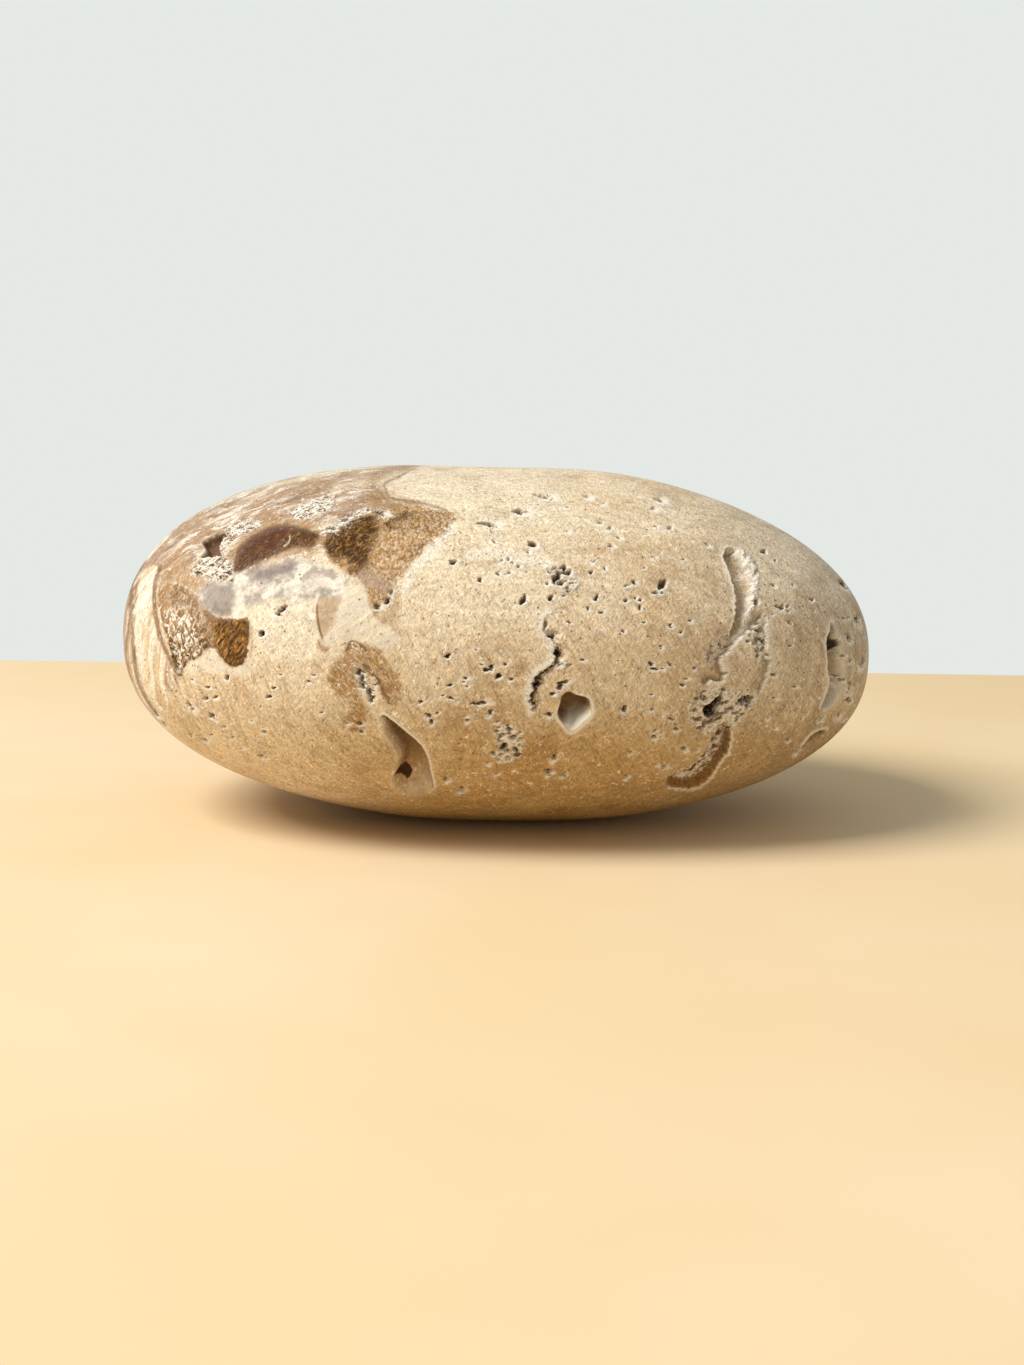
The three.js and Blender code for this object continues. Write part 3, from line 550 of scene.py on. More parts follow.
FAR = 9.0  # mm; stands for any distance too great to matter
AWAY = 1e3  # mm; where marks on the sides that face away are put, far from every opening
FRONT_FACING = 0.02  # the least that the skin faces EYE where the openings of the front are cut
COARSE, COARSE_SHIFT = 0.6, 0.2  # mm; size and reach of the wobble of the edges
FINE, FINE_SHIFT = 0.25, 0.09  # mm
LOWER_RIGHT = np.array((0.5, -0.86))  # the way the pale rims and painted highlights lie, away from the light
FLOOR_GAP = 0.6  # mm; an open floor counts as this far from an edge, so its faces stay larger
SHARES = ("pit", "rim", "stain_and_shade", "pink", "blades", "flecks")
DRAWING = (1664525, 1013904223, 2 ** 32)  # factor, step and size of a common row of random numbers
TINY = 1e-9


class Openings:
    """Gathers, for each point of the skin, the depth in mm, the distance to the nearest opening
    and to the nearest crisp edge, and shares from 0 to 1 of dark pit (dirt and painted shade), pale rim
    (partly painted highlight), stain and painted shade, pink lip (partly painted highlight), crystal
    blades and loose flecks."""

    def __init__(self, points, sizes):
        self.points = points
        self.normals = outward(points, sizes)
        marks, self.facing = seen(points, self.normals)
        self.front = self.facing > FRONT_FACING
        self.marks = np.where(self.front[:, None], marks, AWAY)
        self.coarse = self.wobble(COARSE, COARSE_SHIFT)
        self.fine = self.wobble(FINE, FINE_SHIFT)
        self.flaky = np.zeros(len(points))
        self.flaky[self.front] = grain(points[self.front], 0.35, seed=2)
        self.ragged = self.marks + self.coarse + self.fine
        self.depth = np.zeros(len(points))
        self.gap = np.full(len(points), FAR)
        self.crisp = np.full(len(points), FAR)
        self.shares = {name: np.zeros(len(points)) for name in SHARES}

    def wobble(self, size, amount):
        """A small shift of each mark on the front, so that edges look broken."""
        shift = np.zeros((len(self.points), 2))
        for axis in (0, 1):
            shift[self.front, axis] = grain(self.points[self.front], size, seed=axis) * amount
        return shift

    def sink(self, depth, gap):
        """Keep the deeper depth and the smaller distance."""
        self.depth = np.maximum(self.depth, depth)
        self.gap = np.minimum(self.gap, gap)

    def tint(self, name, share):
        """Keep the greater share of a colour."""
        self.shares[name] = np.maximum(self.shares[name], share)


def lip(gap, width):
    """1 at a small distance outside an edge, fading on both sides."""
    return np.exp(-((gap - 0.35 * width) / (0.55 * width)) ** 2)


def spread(near, values, elsewhere):
    """Values for the near points, and one value for the others."""
    result = np.full(len(near), elsewhere, float)
    result[near] = values
    return result


def cut_pits(made, pits):
    """Small round pits, with a dark wall at the upper left in painted shade and a pale rim at the lower
    right, partly a painted highlight.
    """
    for across, up, long, wide, turn in pits:
        long, wide = PIT_FULLNESS * long, PIT_FULLNESS * wide
        offset = made.ragged - (across, up)
        near = np.hypot(*offset.T) < long / 2 + PIT_MARGIN
        offset = offset[near]
        angle = math.radians(turn)
        ahead = np.array((math.cos(angle), math.sin(angle)))
        side = np.array((-ahead[1], ahead[0]))
        share = np.hypot(offset @ ahead / (long / 2), offset @ side / (wide / 2))
        flaky = made.flaky[near]
        gap = (share - 1) * wide / 2 + 0.15 * flaky
        deep = PIT_LEAST + PIT_GAIN * wide
        made.sink(spread(near, deep * ease(-gap / (0.25 * wide)), 0), spread(near, gap, FAR))
        # painted shade with stain and dirt: every wall is darkened, and the darkest share spares the lit wall
        # at the lower right
        lean = unit(offset + TINY) @ LOWER_RIGHT
        dark = ease((-gap - 0.03) / 0.1) * (1 - 0.8 * ease(1.3 * lean) * ease(2 * share - 0.4))
        made.tint("pit", spread(near, dark, 0))
        made.tint("stain_and_shade", spread(near, 0.7 * ease(-gap / 0.1 + 0.3), 0))
        # a broken pale rim at the lower right, partly a painted highlight on the lit side, with loose flecks
        # beside it
        pale = np.exp(-((gap - 0.1) / 0.14) ** 2) * np.clip(0.4 + lean, 0, 1)
        made.tint("rim", spread(near, pale * np.clip(1.3 + 0.8 * flaky, 0, 1), 0))
        beside = np.hypot(*(offset - 0.5 * wide * LOWER_RIGHT).T) / (0.6 * long + 0.1)
        made.tint("flecks", spread(near, np.exp(-beside ** 2), 0))


def swarm():
    """The fine pits, strewn within their places."""
    strewn = random.Random(SWARM_SEED)
    low, high = FINE_PIT
    pits = []
    for across, up, wide, tall, count in PIT_SWARMS:
        for _ in range(count):
            turn = strewn.uniform(0, 2 * math.pi)
            far = math.sqrt(strewn.random())
            size = low + (high - low) * strewn.random() ** 1.6
            pits.append((across + wide * far * math.cos(turn), up + tall * far * math.sin(turn), size,
                         size * strewn.uniform(0.45, 0.85), strewn.uniform(-60, 60)))
    return pits


def cut_hollow(made, steep, sloping, depth, wall, slope, ragged, stain_and_shade, fade, crust_and_highlight):
    """A long hollow that drops at its steep edge and rises slowly to its sloping edge."""
    marks = made.marks + (made.coarse + made.fine) * ragged * 6
    inside = to_outline(marks, steep + sloping)
    wall_gap, _, _ = to_line(marks, steep, HOLLOW_REACH)
    slope_gap, _, _ = to_line(marks, sloping, HOLLOW_REACH)
    floor = ease(wall_gap / wall) * ease(slope_gap / slope) ** 0.7
    gap = np.where(inside > 0.6, FLOOR_GAP, np.maximum(-inside, 0))
    made.sink(np.where(inside > 0, depth * floor, 0), gap)
    # stain and painted shade on the floor, fading to the lower right, where the floor catches the light
    lower_right = (marks - np.mean(steep + sloping, axis=0)) @ LOWER_RIGHT / 4
    faded = 1 - fade * ease(lower_right - 0.1)
    made.tint("stain_and_shade", stain_and_shade * ease(inside / 0.15) * ease(floor * 1.3) * faded)
    # a painted shadow under the wall, and a pale lip over it
    made.tint("stain_and_shade", 0.9 * ease(inside / 0.1) * lip(wall_gap, 0.45))
    made.tint("rim", 0.8 * lip(wall_gap, 0.35) * (inside <= 0.02))
    # a painted highlight where the floor rises to the lower right, and a pale crust along the sloping edge,
    # partly a painted highlight
    made.tint("rim", 0.5 * fade * ease(inside / 0.3) * ease(1.5 * lower_right - 1.1))
    made.tint("rim", crust_and_highlight * lip(slope_gap + 0.2, 0.7))
    made.crisp = np.minimum(made.crisp, np.where(wall_gap < 1, wall_gap, FAR))


def cut_vug(made):
    """The open vug, with a steep wall in stain and painted shade and a pale floor that rises to the lower
    right, partly a painted highlight.
    """
    inside = to_outline(made.marks + made.coarse * 0.25, VUG)
    lower_right = (made.marks - np.mean(VUG, axis=0)) @ LOWER_RIGHT / 2.4
    steep, ramp = VUG_WALLS
    wall = steep + (ramp - steep) * ease(lower_right + 0.35)
    floor = ease(inside / wall)
    made.sink(VUG_DEPTH * floor, np.where(inside > 1.4, FLOOR_GAP, np.maximum(-inside, 0)))
    # stain and painted shade at the upper left, and a painted shadow along the foot of its lip
    made.tint("stain_and_shade", ease(inside / 0.15) * ease(0.95 - 0.75 * lower_right))
    made.tint("pit", 0.5 * np.exp(-((inside - 0.12) / 0.12) ** 2) * ease(0.8 - 2 * lower_right))
    # a pale lip all round but the upper left, and a pale ramp that is partly a painted highlight
    made.tint("rim", 0.9 * lip(-inside, 0.4) * ease(lower_right + 0.9))
    made.tint("rim", ease(inside / 0.2) * ease(lower_right * 2.2 - 0.4))
    made.crisp = np.minimum(made.crisp, np.abs(inside))


def cut_deep_pit(made, outline, depth, rim):
    """One of the larger pits, with an outline of its own."""
    inside = to_outline(made.marks + (made.coarse + made.fine) * 0.6, outline)
    made.sink(depth * ease(inside / 0.25) + 0.2 * (inside > 0), np.maximum(-inside, 0))
    # dark inside: stain and painted shade, darkest in the deeper pits
    made.tint("stain_and_shade", ease(inside / 0.12))
    made.tint("pit", ease((depth - 0.7) / 0.4) * ease(inside / 0.12))
    made.tint("rim", rim * lip(-inside, 0.2))
    made.crisp = np.minimum(made.crisp, np.abs(inside))


def cut_ledge(made, route, depth, slope):
    """A step with a pink lip along its route, partly a painted highlight, and painted shade in the cut beside
    it.
    """
    gap, side, along = to_line(made.ragged + made.coarse, route, 2.5)
    ends = ease(along / LEDGE_TIPS) * ease((1 - along) / LEDGE_TIPS)
    cut = (side < 0) * (gap < LEDGE_REACH)
    fall = np.exp(-(gap / slope) ** 1.5) * ease(gap / 0.1)
    made.sink(cut * depth * fall * ends, np.where(gap < 0.5, 0, gap))
    # the pink lip and a pale line on the raised side, both partly painted highlight, and painted shade in the
    # cut
    made.tint("pink", lip(np.where(side > 0, gap, FAR), 0.5) * ends)
    made.tint("rim", 0.7 * lip(np.where(side > 0, gap, FAR), 0.12) * ends)
    made.tint("stain_and_shade", 0.45 * cut * fall * ends)


def cut_crack(made):
    """The crack, in painted shade, with a shallow dish in painted shade on its left and a pale flaky rim on
    its right, partly a painted highlight.
    """
    crack = np.array(CRACK)
    gap, side, along = to_line(made.marks + 2.2 * (made.coarse + made.fine), crack[:, :2], 2.5)
    half = np.interp(along * (len(crack) - 1), np.arange(len(crack)), crack[:, 2]) / 2
    gap = gap - 0.75 * half + 0.2 * made.flaky
    left = np.where(side > 0, FAR, gap)
    right = np.where(side > 0, gap, FAR)
    open_here = ease(half * 4)
    made.sink(CRACK_DEPTH * ease(-gap / 0.25 + 0.2) * open_here, np.where(gap < 0, 0, gap))
    made.sink(CRACK_DISH * np.exp(-(np.maximum(left, 0) / 0.5) ** 2) * open_here, FAR)
    # painted shade in the crack and in the dish on its left, a pale rim on its right that is partly painted
    # highlight, and flecks around it
    made.tint("pit", ease(-gap / 0.15) * open_here)
    made.tint("stain_and_shade", 0.8 * np.exp(-(np.maximum(left, 0) / 0.35) ** 2) * open_here)
    made.tint("rim", np.exp(-((right - 0.25) / 0.5) ** 2) * np.clip(1.3 + 0.9 * made.flaky, 0, 1))
    made.tint("flecks", np.exp(-(np.maximum(gap, 0) / 0.8) ** 2))


def crumble(made, outline, depth, long, wide, turn, bladed):
    """A crumbly place: crumbs or crystal blades of one size, laid one way."""
    inside = to_outline(made.ragged, outline)
    near = inside > -0.5
    angle = math.radians(turn)
    ahead = made.points[near] @ (math.cos(angle), 0, math.sin(angle)) / long
    side = made.points[near] @ (-math.sin(angle), 0, math.cos(angle)) / wide
    place = np.stack((ahead, side, made.points[near][:, 1] / long), axis=1)
    rough = grain(place, 1, 3) + 0.7 * grain(place, 0.45, 4)
    rough = spread(near, rough + 0.7 * ease(inside[near] / 0.6 + 0.5) - 0.7, -2)
    crumbs = ease(rough * 2.5)
    ridge = np.exp(-((rough + 0.18) / 0.22) ** 2) * ease(inside / 0.3 + 0.5)
    made.sink(depth * crumbs, np.where(near & (rough > -0.4), 0, FAR))
    made.tint("rim", (1 - bladed) * ridge)
    # darker where the crumbs sink, darkest in the deepest: stain and painted shade in the recesses
    made.tint("stain_and_shade", (1 - bladed) * 0.8 * crumbs)
    made.tint("pit", (1 - 0.8 * bladed) * 0.9 * ease((rough - 0.2) * 4))
    made.tint("flecks", 0.7 * ease(inside / 0.4 + 1))
    made.tint("blades", bladed * ease(inside / 0.4 + 0.3))


def draws(seed):
    """Even, repeatable random numbers between 0 and 1."""
    state = seed
    factor, step, size = DRAWING
    while True:
        state = (state * factor + step) % size
        yield state / size


def far_pits(sizes):
    """Pits on the sides that face away: place, way out of the skin, way along the pit, length."""
    draw = draws(FAR_PIT_SEED)
    span = np.array((sizes.left_reach + sizes.right_reach, sizes.front_reach + sizes.back_reach,
                     sizes.top_reach + sizes.bottom_reach)) / MM
    pits = []
    while len(pits) < FAR_PITS:
        height = next(draw) * 2 - 1
        turn = next(draw) * 2 * math.pi
        level = math.sqrt(1 - height ** 2)
        direction = np.array((level * math.cos(turn), level * math.sin(turn), height))
        low, high = FAR_PIT_SIZES
        size = low + (high - low) * next(draw) ** 2
        way = np.array([next(draw) - 0.5 for _ in range(3)])
        point = onto_skin((MIDDLE + direction * span)[None], sizes)
        normal = outward(point, sizes)
        _, facing = seen(point, normal)
        if facing[0] > FAR_PIT_FACING or point[0, 2] < FAR_PIT_FOOT:
            continue
        pits.append((point[0], normal[0], way, size))
    return pits


def cut_far_pits(made, sizes):
    """The few pits on the sides that face away."""
    for point, normal, way, size in far_pits(sizes):
        side = unit(np.cross(normal, way))
        ahead = np.cross(side, normal)
        offset = made.points - point
        near = np.linalg.norm(offset, axis=1) < size
        spots = offset[near]
        spots = spots + np.stack([grain(spots + point, 0.6, seed) * 0.14 for seed in range(3)], axis=1)
        share = np.hypot(spots @ ahead / (size / 2), spots @ side / (size * FAR_PIT_SIDE))
        gap = spread(near, (share - 1) * size * FAR_PIT_SIDE, FAR)
        round_floor = np.sqrt(np.clip(1 - share ** 2, 0, 1))
        made.sink(spread(near, size * FAR_PIT_DEPTH * round_floor, 0), gap)
        # dark inside: dirt and painted shade; and a pale rim
        made.tint("pit", ease(-gap / 0.15))
        made.tint("rim", 0.6 * lip(gap, 0.25))


def cut_back_grooves(made, sizes):
    """The shallow grooves of the back and the sides."""
    for route, width, depth in BACK_GROOVES:
        line = onto_skin(rounded(route, closed=False) + MIDDLE, sizes)
        near, gap, _, along = near_line(made.points, line, 2.5)
        gaps = spread(near, gap + grain(made.points[near], 0.7, 6) * 0.15, FAR)
        reached = spread(near, ease(along / GROOVE_TIPS) * ease((1 - along) / GROOVE_TIPS), 0)
        half = width / 2 * (0.4 + 0.6 * reached)
        share = np.clip(1 - (gaps / half) ** 2, 0, 1) * reached
        made.sink(depth * np.sqrt(share), np.maximum(gaps - half, 0))
        made.tint("stain_and_shade", ease(share))
        made.tint("rim", 0.6 * lip(gaps - half, 0.3) * reached)


def openings(points, sizes):
    """Everything that is cut into the skin, measured at these points."""
    made = Openings(points, sizes)
    for hollow in HOLLOWS.values():
        cut_hollow(made, **hollow)
    cut_vug(made)
    for route, depth, slope in LEDGES.values():
        cut_ledge(made, route, depth, slope)
    for place in CRUMBLY.values():
        crumble(made, *place)
    for outline, depth, rim in DEEP_PITS.values():
        cut_deep_pit(made, outline, depth, rim)
    cut_crack(made)
    cut_pits(made, PITS)
    cut_pits(made, swarm())
    cut_far_pits(made, sizes)
    cut_back_grooves(made, sizes)
    return made


# ---- The markings: distances to the coloured zones ----

OUTLINE_MIDDLE = np.array((-0.5, 19.5))  # mm; across and up
OUTLINE_HALF = np.array((42.5, 20.0))  # mm; half of the stone's length and height
EDGE_FADE = 12  # mm; the most that counts as inside, times how squarely the skin faces EYE
BANDS_BEHIND = (-7, 8, 0.7)  # mm; behind, the bands lie left of this and above this, softer below
TURNED_AWAY = (0.02, 0.2)  # how far the skin turns from EYE before those behind begin, and over what span
CREAM_END = (0.35, 0.3, 3)  # how far it turns before the cream band shrinks, over what span, and by how much
BACK_FACING = (0.1, 6)  # how far the skin faces back where the markings behind begin, and their edge's fade
LINE_TIPS = 0.1  # share of a line that narrows at each end
LINE_LEAST = 0.05  # share of its width that is left at the tips
LINE_FACING = -0.3  # lines stop where the skin turns further from EYE than this


def markings(points, sizes):
    """Distance in mm to each marking, above zero inside it."""
    normals = outward(points, sizes)
    marks, facing = seen(points, normals)
    elevation = points[:, (0, 2)]
    across, up = (elevation - OUTLINE_MIDDLE).T / OUTLINE_HALF[:, None]
    fields = {"layers": (1 - np.hypot(across, up)) * OUTLINE_HALF[1]}
    for name, outline in MARKINGS.items():
        fields[name] = np.minimum(to_outline(marks, outline), facing * EDGE_FADE)
    for name in ("banded", "end cream"):
        fields[name] = to_outline(marks, MARKINGS[name])
    left_of, above, slope = BANDS_BEHIND
    behind = np.minimum(left_of - points[:, 0], (points[:, 2] - above) * slope)
    behind = np.clip(behind, -FARTHEST, FARTHEST)
    start, span = TURNED_AWAY
    turned = ease((-facing - start) / span)
    fields["banded"] = fields["banded"] * (1 - turned) + behind * turned
    start, span, drop = CREAM_END
    fields["end cream"] = fields["end cream"] - drop * ease((-facing - start) / span)
    least, gain = BACK_FACING
    for name, outline in BACK_MARKINGS.items():
        back = np.minimum(to_outline(elevation, outline), (normals[:, 1] - least) * gain)
        fields[name] = np.maximum(fields[name], back)
    for name, route in LINES.items():
        gap, side, along = to_line(marks, route, LINE_REACH)
        tips = ease(along / LINE_TIPS) * ease((1 - along) / LINE_TIPS)
        narrowing = np.maximum(tips * (facing > LINE_FACING), LINE_LEAST)
        offset = np.where(side < 0, -gap, gap) / narrowing
        fields[name] = np.where(np.abs(offset) < LINE_REACH, offset, OFF_THE_LINE)
    return fields


# ---- Mesh work ----

RIM_HEIGHT = 0.05  # mm; pale rims of the openings stand this proud of the skin
RIM_EDGE = 0.3  # mm; how deep an opening is where its raised rim has gone
WEAR = 0.04  # mm; how far the worn skin lies below the round one
SWELL, SWELL_HEIGHT = 6, 0.03  # mm; broad ripple of the worn skin
RIPPLE, RIPPLE_HEIGHT = 1.4, 0.01  # mm; fine ripple of the worn skin
REFINING = (
    # which faces each pass divides: facing EYE by more than this, nearer than this to an opening,
    # or nearer than this to a crisp edge
    (0, 1.5, 1.5), (1, 0.8, 0.9), (1, 0.12, 0.35), (1, -1, 0.12),
)


def coordinates(mesh):
    """The points of the mesh, in mm."""
    flat = np.empty(len(mesh.vertices) * 3)
    mesh.vertices.foreach_get("co", flat)
    return flat.reshape(-1, 3) / MM


def move_to(mesh, points):
    """Put the points of the mesh where they are wanted, in mm."""
    mesh.vertices.foreach_set("co", (points * MM).ravel())
    mesh.update()


def add_field(mesh, name, values):
    """Store one value for each point, for the material to read."""
    layer = mesh.attributes.new(name, "FLOAT", "POINT")
    layer.data.foreach_set("value", values.astype(np.float32))


def corners(mesh):
    """The three corners of each face."""
    flat = np.empty(len(mesh.loops), int)
    mesh.loops.foreach_get("vertex_index", flat)
    return flat.reshape(-1, 3)


def divide(stone, wanted):
    """Divide the faces that are wanted, and keep every face a triangle."""
    mesh = stone.data
    mesh.vertices.foreach_set("select", np.zeros(len(mesh.vertices), bool))
    mesh.edges.foreach_set("select", np.zeros(len(mesh.edges), bool))
    mesh.polygons.foreach_set("select", wanted)
    bpy.ops.object.mode_set(mode="EDIT")
    bpy.ops.mesh.subdivide(number_cuts=1)
    bpy.ops.mesh.select_all(action="SELECT")
    bpy.ops.mesh.quads_convert_to_tris(quad_method="BEAUTY", ngon_method="BEAUTY")
    bpy.ops.object.mode_set(mode="OBJECT")


def add_lump(sizes):
    """A ball at the stone's size and place, with every point drawn onto the skin."""
    bpy.ops.object.select_all(action="DESELECT")
    bpy.context.tool_settings.mesh_select_mode = (False, False, True)
    half = ((sizes.left_reach + sizes.right_reach) / 2, (sizes.front_reach + sizes.back_reach) / 2,
            (sizes.top_reach + sizes.bottom_reach) / 2)
    place = Vector(MIDDLE * MM) + Vector(((sizes.right_reach - sizes.left_reach) / 2, 0, 0))
    bpy.ops.mesh.primitive_ico_sphere_add(subdivisions=sizes.skin_detail, radius=1, location=place,
                                          scale=half)
    bpy.ops.object.transform_apply(location=True, rotation=True, scale=True)
    stone = bpy.context.object
    stone.name = stone.data.name = "palm_stone"
    move_to(stone.data, onto_skin(coordinates(stone.data), sizes))
    return stone


def refine(stone, sizes):
    """Smaller faces on the front and around the openings, and smallest along their crisp edges."""
    for facing, margin, crisp in REFINING:
        mesh = stone.data
        made = openings(coordinates(mesh), sizes)
        faces = corners(mesh)
        wanted = made.gap[faces].min(axis=1) < margin
        wanted |= made.crisp[faces].min(axis=1) < crisp
        wanted |= made.facing[faces].max(axis=1) > facing
        divide(stone, wanted)
        move_to(stone.data, onto_skin(coordinates(stone.data), sizes))


def carve(stone, sizes):
    """Sink the openings, worn hollows and the flat foot into the skin."""
    mesh = stone.data
    points = coordinates(mesh)
    made = openings(points, sizes)
    for name, values in markings(points, sizes).items():
        add_field(mesh, name, values)
    for name, values in made.shares.items():
        add_field(mesh, name, values)
    worn = WEAR + SWELL_HEIGHT * grain(points, SWELL, 8) + RIPPLE_HEIGHT * grain(points, RIPPLE, 9)
    worn = np.clip(worn, 0, 1)
    raised = RIM_HEIGHT * made.shares["rim"] * (1 - ease(made.depth / RIM_EDGE))
    points = points - made.normals * (made.depth + worn - raised)[:, None]
    low, high = (np.array(corner) / MM for corner in CAD_BOX)
    move_to(mesh, np.clip(points, low, high))


# ---- The finish ----

SEED_STEP = (0.0131, 0.0077, 0.0113)  # m; moves a noise from one seed to the next
CURL_WIDTH = 0.035  # how far from its middle value a noise still counts as a curled line
EDGE_SEED = 7  # the noise that makes edges and seams ragged
LOW_SHADE_TINT = (0.75, 0.64, 0.45)  # painted shade and warm bounce light: what the lower part of the body is multiplied by
FOOT_SHADE_TINT = (0.98, 0.83, 0.48)  # painted shade and warm bounce light: what its foot is multiplied by
BLADE_SEED, BLADE_TURN = 102, -35  # the blades that also stand up
BUMP_HEIGHT = 0.12  # mm
ROUGHNESS = (0.36, 0.9)  # polished skin, and raw stone in the openings
SHEEN = 0.1  # how much the skin mirrors


class Recipe:
    """Short words for adding the nodes of one material and joining them up. Sizes are in mm."""

    def __init__(self, name):
        self.material = bpy.data.materials.new(name)
        self.material.use_nodes = True
        self.tree = self.material.node_tree
        self.shader = self.tree.nodes["Principled BSDF"]
        self.noises = {}
        self.place = self.tree.nodes.new("ShaderNodeTexCoord").outputs["Object"]
        axes = self.add("ShaderNodeSeparateXYZ", {"Vector": self.place})
        self.across, self.inward, self.height = (self.maths("DIVIDE", way, MM) for way in axes.outputs)

    def add(self, kind, inputs=(), **settings):
        """A new node, with its settings and with values or other nodes in its sockets."""
        node = self.tree.nodes.new(kind)
        for name, value in settings.items():
            setattr(node, name, value)
        for name, value in dict(inputs).items():
            self.put(node.inputs[name], value)
        return node

    def put(self, socket, value):
        """Join another node to a socket, or give the socket a plain value."""
        if isinstance(value, bpy.types.NodeSocket):
            self.tree.links.new(value, socket)
        elif socket.type == "RGBA":
            socket.default_value = (*value[:3], 1)
        else:
            socket.default_value = value

    def sized(self, size, seed, turn):
        """The place on the stone, scaled to a size and turned in the plane that faces EYE."""
        if not isinstance(size, tuple):
            size = (size, size, size)
        node = self.add("ShaderNodeMapping", {"Vector": self.place}, vector_type="TEXTURE")
        node.inputs["Location"].default_value = [seed * step for step in SEED_STEP]
        node.inputs["Rotation"].default_value = (0, math.radians(turn), 0)
        node.inputs["Scale"].default_value = [side * MM for side in size]
        return node.outputs["Vector"]

    def noise(self, size, seed=0, detail=3, rough=0.55, turn=0, distort=0):
        """Clouds of a size, with values round 0.5; the same ones are made once and used again."""
        wanted = (size, seed, detail, rough, turn, distort)
        if wanted not in self.noises:
            self.noises[wanted] = self.add("ShaderNodeTexNoise", {
                "Vector": self.sized(size, seed, turn), "Scale": 1, "Detail": detail,
                "Roughness": rough, "Distortion": distort,
            }).outputs["Fac"]
        return self.noises[wanted]

    def layers(self, thick, wave=5, rough=0.55):
        """Layers that follow the outline: 10 times as long as thick, and 14 times from front to back."""
        bend = self.maths("MULTIPLY_ADD", self.noise(11, seed=11), wave, self.field("layers"))
        vector = self.add("ShaderNodeCombineXYZ", {
            "X": self.maths("DIVIDE", bend, thick), "Y": self.maths("DIVIDE", self.across, 10 * thick),
            "Z": self.maths("DIVIDE", self.inward, 14 * thick),
        })
        node = self.add("ShaderNodeTexNoise", {"Vector": vector.outputs[0], "Scale": 1, "Detail": 4,
                                               "Roughness": rough, "Distortion": 0.3})
        return node.outputs["Fac"]

    def curls(self, size, seed, share=(0.53, 0.6), turn=0):
        """Short curled lines, in patches."""
        wave = self.noise(size, seed=seed, detail=1, rough=0.5, turn=turn, distort=0.5)
        middle = self.maths("SUBTRACT", wave, 0.5)
        line = self.between(self.maths("ABSOLUTE", middle), CURL_WIDTH, 0)
        patches = self.noise(size, seed=seed + 0.5, detail=2, rough=0.5, turn=turn)
        return self.times(line, self.between(patches, *share))

    def cells(self, size, seed):
        """Distance to the nearest of many strewn points."""
        node = self.add("ShaderNodeTexVoronoi", {"Vector": self.sized(size, seed, 0), "Scale": 1})
        return node.outputs["Distance"]

    def field(self, name):
        """A value that the mesh keeps for each point."""
        return self.add("ShaderNodeAttribute", attribute_name=name).outputs["Fac"]

    def maths(self, operation, *values):
        """One step of arithmetic."""
        node = self.add("ShaderNodeMath", operation=operation)
        for socket, value in zip(node.inputs, values):
            self.put(socket, value)
        return node.outputs[0]

    def between(self, value, low, high, start=0.0, end=1.0):
        """Eases from start to end while the value goes from low to high."""
        node = self.add("ShaderNodeMapRange", {
            "Value": value, "From Min": low, "From Max": high, "To Min": start, "To Max": end,
        }, interpolation_type="SMOOTHSTEP")
        return node.outputs["Result"]

    def mix(self, share, first, second, blend="MIX"):
        """A share of the second colour over the first."""
        node = self.add("ShaderNodeMix", data_type="RGBA", blend_type=blend)
        for socket, value in zip((node.inputs[0], node.inputs[6], node.inputs[7]),
                                 (share, first, second)):
            self.put(socket, value)
        return node.outputs[2]

    def over(self, colour, tone, *shares):
        """A tone laid over a colour by the product of the shares."""
        return self.mix(self.times(*shares), colour, tone)

    def brighten(self, colour, factor):
        """The colour, so many times as bright."""
        return self.add("ShaderNodeVectorMath", {"Vector": colour, "Scale": factor},
                        operation="SCALE").outputs[0]

    def grains(self, colour, size, seed, amount, turn=0, distort=0):
        """The colour, lighter and darker from grain to grain."""
        dots = self.noise(size, seed=seed, rough=0.75, turn=turn, distort=distort)
        return self.brighten(colour, self.maths("MULTIPLY_ADD", dots, 2 * amount, 1 - amount))

    def zone(self, name, ragged, soft, size=1.0):
        """1 inside a marking, 0 outside it. Its edge wanders by ragged mm and fades over soft mm."""
        waves = self.noise(size, seed=EDGE_SEED, detail=4, rough=0.65)
        edge = self.maths("MULTIPLY_ADD", waves, 4 * ragged, self.field(name))
        return self.between(edge, 2 * ragged - soft, 2 * ragged + soft)

    def line(self, name, width, soft, waver):
        """1 on a thin seam. Its edge fades over soft mm, and it wavers by so many mm."""
        waves = self.noise(1.0, seed=EDGE_SEED, detail=4, rough=0.65)
        wander = self.maths("MULTIPLY_ADD", waves, 4 * waver, self.field(name))
        gap = self.maths("ABSOLUTE", self.maths("SUBTRACT", wander, 2 * waver))
        return self.between(gap, width / 2 + soft, width / 2 - soft)

    def times(self, *shares):
        """The product of the shares."""
        result = shares[0]
        for share in shares[1:]:
            result = self.maths("MULTIPLY", result, share)
        return result

    def most(self, *shares):
        """The greatest of the shares."""
        result = shares[0]
        for share in shares[1:]:
            result = self.maths("MAXIMUM", result, share)
        return result


